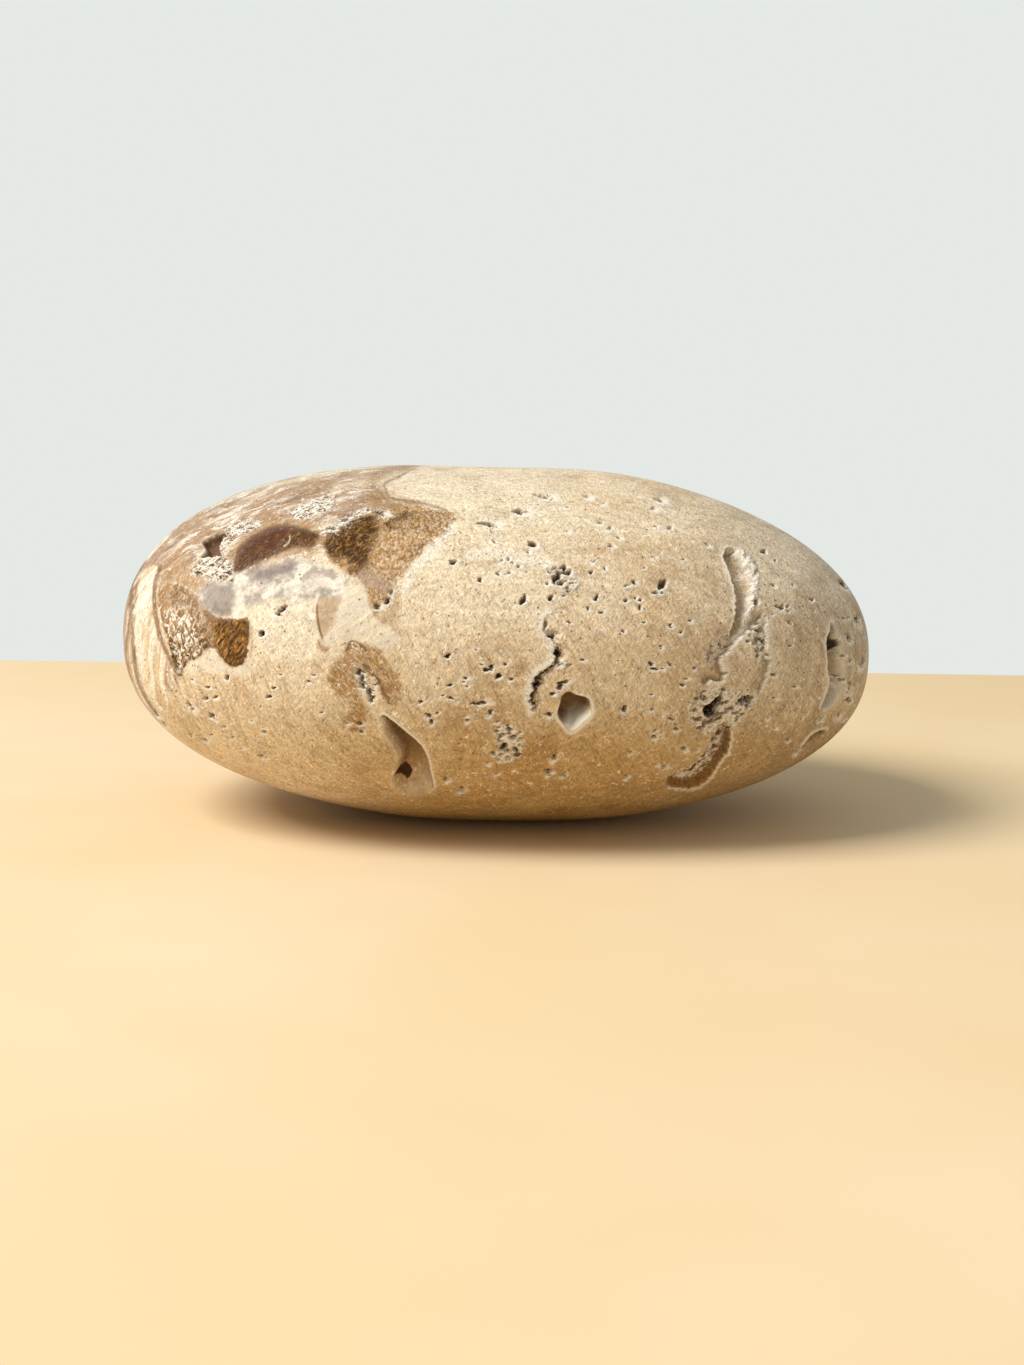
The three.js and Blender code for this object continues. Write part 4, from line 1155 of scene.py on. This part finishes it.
def body_colour(recipe, colours):
    """Tan limestone, clouded with cream and umber, greyer to the right and pale streaked at the top."""
    ground = recipe.mix(recipe.between(recipe.across, 10, 36, 0, 0.7), colours.tan, colours.ash)
    ground = recipe.mix(recipe.between(recipe.across, 2, -24, 0, 0.4), ground, colours.cream)
    shoulder = recipe.times(recipe.between(recipe.height, 15, 27), recipe.between(recipe.across, 18, 4))
    ground = recipe.over(ground, colours.cream, shoulder, 0.6)
    clouds = recipe.between(recipe.noise(8, seed=1, rough=0.6), 0.42, 0.64)
    tan = recipe.over(ground, colours.cream, clouds, 0.45)
    stains = recipe.between(recipe.noise((4, 4, 6), seed=2, detail=4, rough=0.65), 0.5, 0.7)
    tan = recipe.over(tan, colours.umber, stains, 0.45)
    upper = recipe.between(recipe.height, 24, 37)
    streaks = recipe.between(recipe.noise((9, 9, 0.9), seed=4, rough=0.6, turn=5, distort=0.3), 0.46, 0.64)
    tan = recipe.over(tan, colours.cream, streaks, upper, 0.6)
    tan = recipe.over(tan, colours.chalk, recipe.line("veil", 1.2, 0.6, 0.3), 0.6)
    tan = recipe.over(tan, colours.cream, recipe.line("pale swirl", 2.0, 1.2, 0.3), 0.5)
    strokes = recipe.between(recipe.noise((0.3, 1.0, 2.4), seed=5, rough=0.65, turn=-25), 0.52, 0.68)
    tan = recipe.over(tan, colours.umber, strokes, 0.45)
    wisps = recipe.between(recipe.noise((0.3, 1.0, 2.2), seed=6, rough=0.65, turn=-30), 0.53, 0.68)
    return recipe.over(tan, colours.cream, wisps, 0.5)


def band_colour(recipe, colours):
    """Taupe, cream and brown layers, smeared along the outline."""
    brown = recipe.mix(0.5, colours.taupe, colours.umber)
    colour = recipe.mix(recipe.between(recipe.layers(2.6), 0.42, 0.59), brown, colours.cream)
    clouds = recipe.between(recipe.noise(4, seed=12, detail=4, rough=0.6), 0.5, 0.66)
    colour = recipe.over(colour, colours.taupe, clouds, 0.5)
    thin = recipe.layers(0.45, 4, 0.7)
    colour = recipe.over(colour, colours.chalk, recipe.between(thin, 0.5, 0.64), 0.7)
    colour = recipe.over(colour, colours.walnut, recipe.between(thin, 0.45, 0.32), 0.7)
    smears = recipe.between(recipe.layers(1.3), 0.52, 0.66)
    patches = recipe.between(recipe.noise(5, seed=15), 0.48, 0.6)
    return recipe.over(colour, colours.walnut, smears, patches, 0.7)


def strokes_of(recipe, turn=35):
    """Fine strokes across the clear calcite, all one way."""
    return recipe.noise((0.25, 0.5, 1.1), seed=21, rough=0.8, turn=turn, distort=0.6)


def pale_brown(recipe, colours):
    """The palest part of the clear golden calcite."""
    return recipe.mix(0.35, colours.umber, colours.cream)


def gold_colour(recipe, colours):
    """Clear golden calcite: darkest in its core, paler and speckled towards the right."""
    strokes = strokes_of(recipe)
    clouds = recipe.between(recipe.noise(3, seed=23, detail=4), 0.45, 0.57)
    deep = recipe.most(recipe.zone("gold core", 0.6, 0.7, 1.8), clouds)
    dark = recipe.mix(recipe.between(strokes, 0.46, 0.68), colours.deep_gold, colours.gold)
    light = recipe.mix(recipe.between(strokes, 0.42, 0.6), colours.gold, pale_brown(recipe, colours))
    colour = recipe.mix(deep, light, dark)
    pale = recipe.zone("gold pale", 0.5, 0.9, 1.8)
    specks = recipe.between(recipe.noise((0.35, 0.5, 0.6), seed=25, detail=4, rough=0.8), 0.42, 0.6)
    speckled = recipe.mix(specks, colours.gold, recipe.mix(0.35, colours.cream, colours.umber))
    colour = recipe.over(colour, speckled, pale, 0.75)
    colour = recipe.over(colour, colours.taupe, recipe.zone("taupe hem", 0.4, 0.6), 0.7)
    glints = recipe.between(recipe.noise((0.2, 0.4, 0.5), seed=27, rough=0.7, turn=40), 0.69, 0.73)
    return recipe.over(colour, colours.chalk, glints, recipe.maths("MULTIPLY_ADD", deep, -0.6, 0.9))


def crystals_of(recipe, seed, turn, low):
    """1 on the crystal faces that lie one way."""
    waves = recipe.noise((0.42, 0.8, 1.0), seed=seed, rough=0.75, turn=turn, distort=0.9)
    return recipe.between(waves, low, low + 0.025)


def glittering_gold(recipe, colours):
    """The golden patch at the left end: brown strokes under white crystal faces."""
    strokes = recipe.noise((0.4, 0.7, 0.9), seed=31, rough=0.75, turn=25, distort=0.6)
    light = recipe.mix(0.25, colours.gold, colours.tan)
    brown = recipe.mix(recipe.between(strokes, 0.42, 0.6), colours.deep_gold, light)
    brown = recipe.over(brown, colours.umber, recipe.between(recipe.height, 20, 25), 0.6)
    faces = recipe.most(crystals_of(recipe, 32, -35, 0.545), crystals_of(recipe, 47, 30, 0.555))
    to_the_left = recipe.between(recipe.across, -29.5, -32, 0.1, 1)
    below = recipe.between(recipe.height, 26, 24, 0.3, 1)
    return recipe.over(brown, colours.chalk, faces, recipe.times(to_the_left, below))


def dark_gold(recipe, colours):
    """The darkest part of the golden patch at the left end."""
    strokes = strokes_of(recipe)
    brown = recipe.mix(recipe.between(strokes, 0.42, 0.55), colours.deep_gold, colours.gold)
    light = recipe.mix(0.4, colours.gold, colours.cream)
    brown = recipe.mix(recipe.between(strokes, 0.57, 0.66), brown, light)
    patches = recipe.between(recipe.noise(1.8, seed=34, rough=0.7), 0.54, 0.42, 0, 0.6)
    return recipe.mix(patches, brown, colours.deep_gold)


def violet_colour(recipe, colours):
    """A white cloud with grey-violet and brownish patches."""
    wisps = recipe.noise((1.6, 1.6, 1.0), seed=35, detail=4, rough=0.7, turn=-30, distort=0.6)
    brownish = recipe.mix(0.3, colours.chalk, colours.taupe)
    bluish = recipe.mix(0.1, colours.chalk, colours.violet)
    colour = recipe.mix(recipe.between(wisps, 0.34, 0.52), brownish, bluish)
    top = recipe.between(recipe.height, 23.2, 25.5)
    patches = recipe.between(recipe.noise(1.7, seed=36, detail=4, rough=0.6), 0.42, 0.6)
    colour = recipe.over(colour, colours.violet, top, patches, 0.8)
    specks = recipe.between(recipe.noise(0.5, seed=37, detail=4, rough=0.75), 0.52, 0.72)
    return recipe.over(colour, colours.taupe, specks, 0.2)


def plum_colour(recipe, colours):
    """The purple-brown lens: hazy along its upper edge, golden brown at its foot and its right end."""
    clouds = recipe.between(recipe.noise(1.2, seed=41, detail=4, rough=0.7), 0.44, 0.68, 0, 0.35)
    colour = recipe.mix(clouds, colours.plum, colours.gold)
    edge = recipe.between(recipe.field("lens"), 1.1, 0)
    haze = recipe.mix(0.4, colours.taupe, colours.violet)
    colour = recipe.over(colour, haze, edge, recipe.between(recipe.height, 29, 30.5), 0.25)
    brown = recipe.mix(recipe.between(strokes_of(recipe), 0.48, 0.66), colours.deep_gold, colours.gold)
    for name, share in (("lens foot", 0.7), ("lens right", 0.7)):
        colour = recipe.over(colour, brown, recipe.zone(name, 0.3, 0.5, 0.6), share)
    colour = recipe.over(colour, colours.cream, recipe.line("lens curl", 0.12, 0.1, 0.04), 0.7)
    behind = recipe.between(recipe.inward, 0, 5)
    colour = recipe.over(colour, recipe.mix(0.5, colours.taupe, colours.umber), behind, 0.5)
    glints = recipe.between(recipe.noise((0.2, 0.3, 0.3), seed=42, rough=0.7), 0.7, 0.75)
    return recipe.over(colour, colours.cream, glints, 0.6)


def chalk_colour(recipe, colours):
    """White with greyer and creamier clouds."""
    clouds = recipe.between(recipe.noise(0.9, seed=51, rough=0.7), 0.3, 0.65)
    return recipe.mix(clouds, recipe.mix(0.3, colours.chalk, colours.violet), colours.cream)


def white_zone(recipe):
    """The white tongue and its foot."""
    return recipe.most(recipe.zone("white", 0.25, 0.35), recipe.zone("white foot", 0.2, 0.3))


def left_end(recipe, colours, colour):
    """The banded end, its cream band and the seams beside it."""
    sharp, wandering = recipe.zone("banded", 0.3, 0.5, 1.8), recipe.zone("banded", 2.2, 1.0, 7)
    banded = recipe.mix(recipe.between(recipe.inward, 0, 8), sharp, wandering)
    colour = recipe.mix(banded, colour, band_colour(recipe, colours))
    colour = recipe.over(colour, colours.umber, recipe.line("cap swirl", 2.0, 0.9, 0.3), 0.55)
    colour = recipe.over(colour, colours.walnut, recipe.line("cap swirl", 0.9, 0.5, 0.3), 0.25)
    pale = recipe.mix(0.5, colours.chalk, colours.cream)
    cream = recipe.mix(recipe.between(recipe.layers(0.5), 0.4, 0.65), pale, colours.tan)
    colour = recipe.mix(recipe.zone("end cream", 0.12, 0.2, 1.8), colour, cream)
    seams = (("inner seam", 0.5, 0.8), ("outer seam", 0.4, 0.7), ("cap seam", 0.3, 0.65))
    for name, width, share in seams:
        colour = recipe.over(colour, colours.walnut, recipe.line(name, width, 0.15, 0.08), share)
    return colour


def clear_patches(recipe, colours, colour):
    """Golden, violet and plum calcite, and the white around them."""
    cheek = recipe.zone("white cheek", 0.2, 0.3)
    colour = recipe.over(colour, recipe.mix(0.4, colours.cream, colours.chalk), cheek, 0.6)
    colour = recipe.over(colour, colours.umber, recipe.line("cheek edge", 0.3, 0.2, 0.2), 0.45)
    colour = recipe.over(colour, colours.chalk, recipe.line("right of the gold", 1.0, 0.5, 0.3), 0.6)
    colour = recipe.over(colour, colours.umber, recipe.zone("gold veil", 0.4, 0.8), 0.75)
    colour = recipe.mix(recipe.zone("gold", 0.4, 0.35), colour, gold_colour(recipe, colours))
    edge = recipe.times(recipe.zone("gold", 0.5, 0.5, 0.6), recipe.between(recipe.field("gold"), 0.9, 0.2))
    beads = recipe.between(recipe.cells(0.6, seed=72), 0.3, 0.15)
    colour = recipe.over(colour, colours.chalk, edge, beads, recipe.between(recipe.across, -14, -11), 0.9)
    left = recipe.zone("left gold", 0.25, 0.12, 0.6)
    glitter, dark = glittering_gold(recipe, colours), dark_gold(recipe, colours)
    colour = recipe.mix(left, colour, recipe.mix(recipe.zone("dark gold", 0.4, 0.5), glitter, dark))
    hem = recipe.between(recipe.field("left gold"), 0.5, 0.1)
    colour = recipe.over(colour, colours.deep_gold, left, hem, recipe.between(recipe.height, 23, 20), 0.6)
    cloud = recipe.zone("violet", 0.4, 0.7, 1.8)
    colour = recipe.over(colour, violet_colour(recipe, colours), cloud, 0.9)
    violet = recipe.grains(colours.violet, 0.5, seed=76, amount=0.5)
    for name, share in (("violet deep", 1), ("violet left", 0.8)):
        colour = recipe.over(colour, violet, recipe.zone(name, 0.4, 0.8), share)
    tail = recipe.mix(0.3, colours.umber, colours.cream)
    colour = recipe.over(colour, tail, recipe.zone("tail", 0.12, 0.2), 0.85)
    colour = recipe.over(colour, colours.umber, recipe.zone("tail foot", 0.1, 0.2, 0.6), 0.8)
    colour = recipe.over(colour, colours.walnut, recipe.line("tail edge", 0.25, 0.12, 0.05), 0.9)
    halo = recipe.between(recipe.field("lens"), -1.2, -0.1)
    colour = recipe.over(colour, colours.umber, halo, recipe.between(recipe.height, 29, 31), 0.7)
    colour = recipe.mix(recipe.zone("lens", 0.15, 0.3), colour, plum_colour(recipe, colours))
    colour = recipe.over(colour, colours.umber, recipe.zone("gold lip", 0.2, 0.4), 0.5)
    return recipe.over(colour, chalk_colour(recipe, colours), white_zone(recipe), 0.9)


def hook_patches(recipe, colours, colour):
    """The golden hook round the porous streak, and the pale bands beside it and over the leaf."""
    strokes = recipe.between(strokes_of(recipe, -50), 0.42, 0.6)
    golden = recipe.mix(strokes, colours.gold, pale_brown(recipe, colours))
    colour = recipe.over(colour, golden, recipe.zone("hook", 0.25, 0.4), 0.85)
    for name, width, share in (("hook streak", 0.5, 0.6), ("hook cap", 0.35, 0.65)):
        colour = recipe.over(colour, colours.deep_gold, recipe.line(name, width, 0.25, 0.1), share)
    colour = recipe.over(colour, colours.cream, recipe.line("cream band", 0.6, 0.3, 0.15), 0.8)
    return recipe.over(colour, colours.cream, recipe.line("leaf brow", 0.9, 0.4, 0.1), 0.6)


def blades_of(recipe, seed, turn):
    """Long crystal blades, all one way."""
    return recipe.noise((1.5, 0.7, 0.3), seed=seed, detail=2, rough=0.6, turn=turn, distort=1)


def crystal_blades(recipe, colours):
    """White blades, crossing each other over brown gaps."""
    shades = recipe.between(recipe.noise((0.4, 0.6, 0.9), seed=101, rough=0.7, turn=20), 0.44, 0.56)
    gaps = recipe.mix(shades, colours.deep_gold, colours.umber)
    proud = recipe.between(blades_of(recipe, BLADE_SEED, BLADE_TURN), 0.47, 0.55)
    faces = recipe.most(proud, recipe.between(blades_of(recipe, 103, 15), 0.52, 0.6))
    return recipe.mix(faces, gaps, colours.chalk)


def weathering_and_painted_light(recipe, colours, colour, pores, clear):
    """Painted shade, darker and warmer towards the foot, then grain, curls and pores, and what is in and
    around the openings, with its painted light and shade.
    """
    # painted shade: the lower body, except at the left end, is darkened and warmed towards the foot, for the
    # shade under the stone and the warm light thrown back by the floor
    tint = recipe.mix(recipe.between(recipe.height, 7, 2), LOW_SHADE_TINT, FOOT_SHADE_TINT)
    low = recipe.times(recipe.between(recipe.height, 19, 9), recipe.between(recipe.across, -24, -4))
    colour = recipe.mix(low, colour, tint, blend="MULTIPLY")
    plain = recipe.maths("MULTIPLY_ADD", clear, -0.8, 1)
    colour = recipe.over(colour, colours.chalk, recipe.curls(0.8, 91), plain, 0.8)
    dark_curls = recipe.curls((0.5, 0.5, 0.9), 92, (0.54, 0.62), turn=30)
    colour = recipe.over(colour, colours.walnut, dark_curls, plain, 0.7)
    grained = recipe.grains(colour, (0.18, 0.35, 0.6), seed=93, amount=0.9, turn=35, distort=1)
    grained = recipe.grains(grained, (0.18, 0.35, 0.7), seed=40, amount=0.7, turn=-30, distort=1)
    smooth = recipe.most(white_zone(recipe), recipe.zone("violet", 0.4, 0.7, 1.8))
    colour = recipe.over(grained, colour, smooth, 0.6)
    flow = recipe.maths("SUBTRACT", recipe.layers(0.4), 0.5)
    flow = recipe.times(flow, recipe.between(recipe.noise(5, seed=15), 0.4, 0.55, 0.3, 1))
    colour = recipe.brighten(colour, recipe.maths("MULTIPLY_ADD", flow, 0.8, 1))
    colour = recipe.mix(recipe.field("blades"), colour, crystal_blades(recipe, colours))
    colour = recipe.over(colour, colours.walnut, pores, 0.8)
    # stain and painted shade from the openings, pink lips and pale rims that are partly painted highlight,
    # then dirt and painted shade in the pits
    golden = recipe.mix(0.4, colours.gold, colours.deep_gold)
    stain_and_shade = recipe.mix(recipe.between(recipe.height, 12, 8), colours.walnut, golden)
    stain_and_shade = recipe.grains(stain_and_shade, 0.4, seed=95, amount=0.7)
    colour = recipe.over(colour, stain_and_shade, recipe.field("stain_and_shade"), 0.85)
    colour = recipe.over(colour, recipe.mix(0.2, colours.chalk, colours.taupe), recipe.field("pink"), 0.85)
    colour = recipe.over(colour, colours.chalk, recipe.field("rim"), 0.95)
    colour = recipe.over(colour, colours.pit, recipe.field("pit"), 0.9)
    flecks = ((104, 0.55, 0.61, 1, colours.chalk), (105, 0.57, 0.64, 0.9, colours.pit))
    for seed, low, high, share, tone in flecks:
        spots = recipe.between(recipe.noise((0.2, 0.3, 0.3), seed=seed, rough=0.7, turn=30), low, high)
        colour = recipe.over(colour, tone, recipe.field("flecks"), spots, share)
    return colour


def relief(recipe, pores):
    """The finest bumps of the skin: grain, curls, crystals, blades and pores."""
    upper = recipe.between(recipe.height, 15, 24, 0.4, 1)
    crystals = recipe.times(recipe.zone("left gold", 0.2, 0.3), upper)
    fine, broad = recipe.noise(0.3, seed=98, rough=0.7), recipe.noise(2.5, seed=99)
    bumps = recipe.maths("ADD", recipe.times(fine, 0.9), recipe.times(broad, 0.6))
    bumps = recipe.maths("ADD", bumps, recipe.times(recipe.curls(0.85, 91), 0.35))
    crystals = recipe.times(crystals, recipe.noise(0.5, seed=32, detail=4, rough=0.75), 3)
    bumps = recipe.maths("ADD", bumps, crystals)
    blades = recipe.times(recipe.field("blades"), blades_of(recipe, BLADE_SEED, BLADE_TURN), 4)
    bumps = recipe.maths("ADD", bumps, blades)
    bumps = recipe.maths("SUBTRACT", bumps, recipe.times(pores, 0.8))
    bump = recipe.add("ShaderNodeBump", {"Strength": 0.6, "Distance": BUMP_HEIGHT * MM, "Height": bumps})
    return bump.outputs["Normal"]


def calcite(colours):
    """The material of the whole stone."""
    recipe = Recipe("calcite")
    colour = left_end(recipe, colours, body_colour(recipe, colours))
    colour = clear_patches(recipe, colours, colour)
    colour = hook_patches(recipe, colours, colour)
    patches = recipe.between(recipe.noise(3, seed=89), 0.45, 0.56)
    pores = recipe.times(recipe.between(recipe.cells(0.8, seed=90), 0.18, 0.1), patches)
    clear_zones = ("gold", "lens", "left gold", "violet")
    clear = recipe.most(*(recipe.between(recipe.field(name), -0.1, 0.2) for name in clear_zones))
    colour = weathering_and_painted_light(recipe, colours, colour, pores, clear)
    raw = recipe.most(recipe.field("stain_and_shade"), recipe.field("pit"), recipe.field("rim"))
    polish = recipe.maths("MULTIPLY_ADD", recipe.noise(0.5, seed=97, detail=2, rough=0.7), 0.45, raw)
    smooth, dull = ROUGHNESS
    recipe.put(recipe.shader.inputs["Base Color"], colour)
    recipe.put(recipe.shader.inputs["Roughness"], recipe.between(polish, 0, 1.2, smooth, dull))
    recipe.put(recipe.shader.inputs["Normal"], relief(recipe, pores))
    recipe.shader.inputs["Specular IOR Level"].default_value = SHEEN
    return recipe.material


# ---- The stage ----

FLOOR_BACK = 0.112  # m, as are the next three
FLOOR_FRONT = -1.2
FLOOR_HALF_WIDTH = 1.0
FLOOR_THICKNESS = 0.02
CLOUD_SIZE = 60  # mm; faint clouds on the floor
CLOUD_SHARE = 0.1  # how far they go towards white
KEY_PLACE = (-0.55, -0.25, 0.7)  # m
KEY_SIZE = 0.45  # m
CAMERA_PITCH = math.radians(8.7)  # how far it looks down
CAMERA_ROLL = math.radians(0.85)
CAMERA_LENS = 54.07  # mm, for a sensor this wide
SENSOR_WIDTH = 36
CLIP_START = 0.01  # m


def floor_finish(colour):
    """A matt colour with faint clouds."""
    recipe = Recipe("floor")
    clouds = recipe.between(recipe.noise(CLOUD_SIZE, seed=1), 0.3, 0.7)
    colour = recipe.over(colour, (1, 1, 1), clouds, CLOUD_SHARE)
    recipe.put(recipe.shader.inputs["Base Color"], colour)
    recipe.put(recipe.shader.inputs["Roughness"], 0.7)
    return recipe.material


def add_floor(stage):
    """A plain slab that ends a little way behind the stone."""
    bpy.ops.object.select_all(action="DESELECT")
    middle = (0, (FLOOR_BACK + FLOOR_FRONT) / 2, -FLOOR_THICKNESS / 2)
    half = (FLOOR_HALF_WIDTH, (FLOOR_BACK - FLOOR_FRONT) / 2, FLOOR_THICKNESS / 2)
    bpy.ops.mesh.primitive_cube_add(size=2, location=middle, scale=half)
    bpy.ops.object.transform_apply(location=True, rotation=True, scale=True)
    floor = bpy.context.object
    floor.name = floor.data.name = "floor"
    floor.data.materials.append(floor_finish(stage.floor))


def aim(lamp, place, target):
    """Put a lamp at a place and turn it to its target."""
    lamp.location = place
    lamp.rotation_euler = (Vector(target) - Vector(place)).to_track_quat("-Z", "Y").to_euler()


def add_lights(stage):
    """One soft light above left, even light from all sides, and the backdrop that the camera sees."""
    bpy.ops.object.light_add(type="AREA")
    key = bpy.context.object
    key.name = "key light"
    key.data.energy = stage.key_light
    key.data.size = KEY_SIZE
    aim(key, KEY_PLACE, MIDDLE * MM)
    world = bpy.data.worlds.new("daylight")
    world.use_nodes = True
    bpy.context.scene.world = world
    tree = world.node_tree
    backdrop = tree.nodes["Background"]
    backdrop.inputs["Color"].default_value = (*stage.backdrop, 1)
    fill = tree.nodes.new("ShaderNodeBackground")
    fill.inputs["Color"].default_value = (*stage.backdrop, 1)
    fill.inputs["Strength"].default_value = stage.fill
    paths = tree.nodes.new("ShaderNodeLightPath")
    choice = tree.nodes.new("ShaderNodeMixShader")
    tree.links.new(paths.outputs["Is Camera Ray"], choice.inputs["Fac"])
    tree.links.new(fill.outputs["Background"], choice.inputs[1])
    tree.links.new(backdrop.outputs["Background"], choice.inputs[2])
    tree.links.new(choice.outputs["Shader"], tree.nodes["World Output"].inputs["Surface"])


def add_camera():
    """The camera stands at EYE, looks down a little and leans to one side."""
    bpy.ops.object.camera_add()
    camera = bpy.context.object
    camera.name = "camera"
    tilt = Matrix.Rotation(math.radians(90) - CAMERA_PITCH, 4, "X")
    roll = Matrix.Rotation(CAMERA_ROLL, 4, "Z")
    camera.matrix_world = Matrix.Translation(Vector(EYE * MM)) @ tilt @ roll
    camera.data.lens = CAMERA_LENS
    camera.data.sensor_width = SENSOR_WIDTH
    camera.data.clip_start = CLIP_START
    bpy.context.scene.camera = camera


# ---- Operators and panel ----

class CALCITE_OT_stone(bpy.types.Operator):
    """Model the palm stone with its openings, markings and finish"""
    bl_idname = "calcite.stone"
    bl_label = "Palm stone"

    def execute(self, context):
        sizes = context.scene.calcite_sizes
        stone = add_lump(sizes)
        refine(stone, sizes)
        carve(stone, sizes)
        bpy.ops.object.mode_set(mode="EDIT")
        bpy.ops.mesh.select_all(action="SELECT")
        bpy.ops.mesh.normals_make_consistent(inside=False)
        bpy.ops.object.mode_set(mode="OBJECT")
        bpy.ops.object.shade_smooth()
        stone.data.materials.append(calcite(context.scene.calcite_colours))
        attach(stone, "root")
        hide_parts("stone")
        return {"FINISHED"}


class CALCITE_OT_stage(bpy.types.Operator):
    """Set the plain floor, the soft light and the camera"""
    bl_idname = "calcite.stage"
    bl_label = "Stage"

    def execute(self, context):
        stage = context.scene.calcite_stage
        context.scene.view_settings.view_transform = "Standard"
        add_floor(stage)
        add_lights(stage)
        add_camera()
        return {"FINISHED"}


class CALCITE_PT_panel(bpy.types.Panel):
    """Lists the pieces and what can be changed"""
    bl_idname = "CALCITE_PT_panel"
    bl_label = "Calcite palm stone"
    bl_space_type = "VIEW_3D"
    bl_region_type = "UI"
    bl_category = "Calcite"

    def draw(self, context):
        layout = self.layout
        scene = context.scene
        for settings, action in ((scene.calcite_sizes, None), (scene.calcite_colours, "calcite.stone"),
                                 (scene.calcite_stage, "calcite.stage")):
            box = layout.box()
            for name in settings.__annotations__:
                box.prop(settings, name)
            if action:
                box.operator(action)


CLASSES = (CalciteStoneSizes, CalciteColours, CalciteStage, CALCITE_OT_stone, CALCITE_OT_stage,
           CALCITE_PT_panel)


def register():
    for cls in CLASSES:
        bpy.utils.register_class(cls)
    bpy.types.Scene.calcite_sizes = PointerProperty(type=CalciteStoneSizes)
    bpy.types.Scene.calcite_colours = PointerProperty(type=CalciteColours)
    bpy.types.Scene.calcite_stage = PointerProperty(type=CalciteStage)


def unregister():
    del bpy.types.Scene.calcite_stage
    del bpy.types.Scene.calcite_colours
    del bpy.types.Scene.calcite_sizes
    for cls in reversed(CLASSES):
        bpy.utils.unregister_class(cls)


def main():
    """Make the stone and its stage."""
    register()
    bpy.ops.calcite.stone()
    bpy.ops.calcite.stage()


if __name__ == "__main__":
    main()
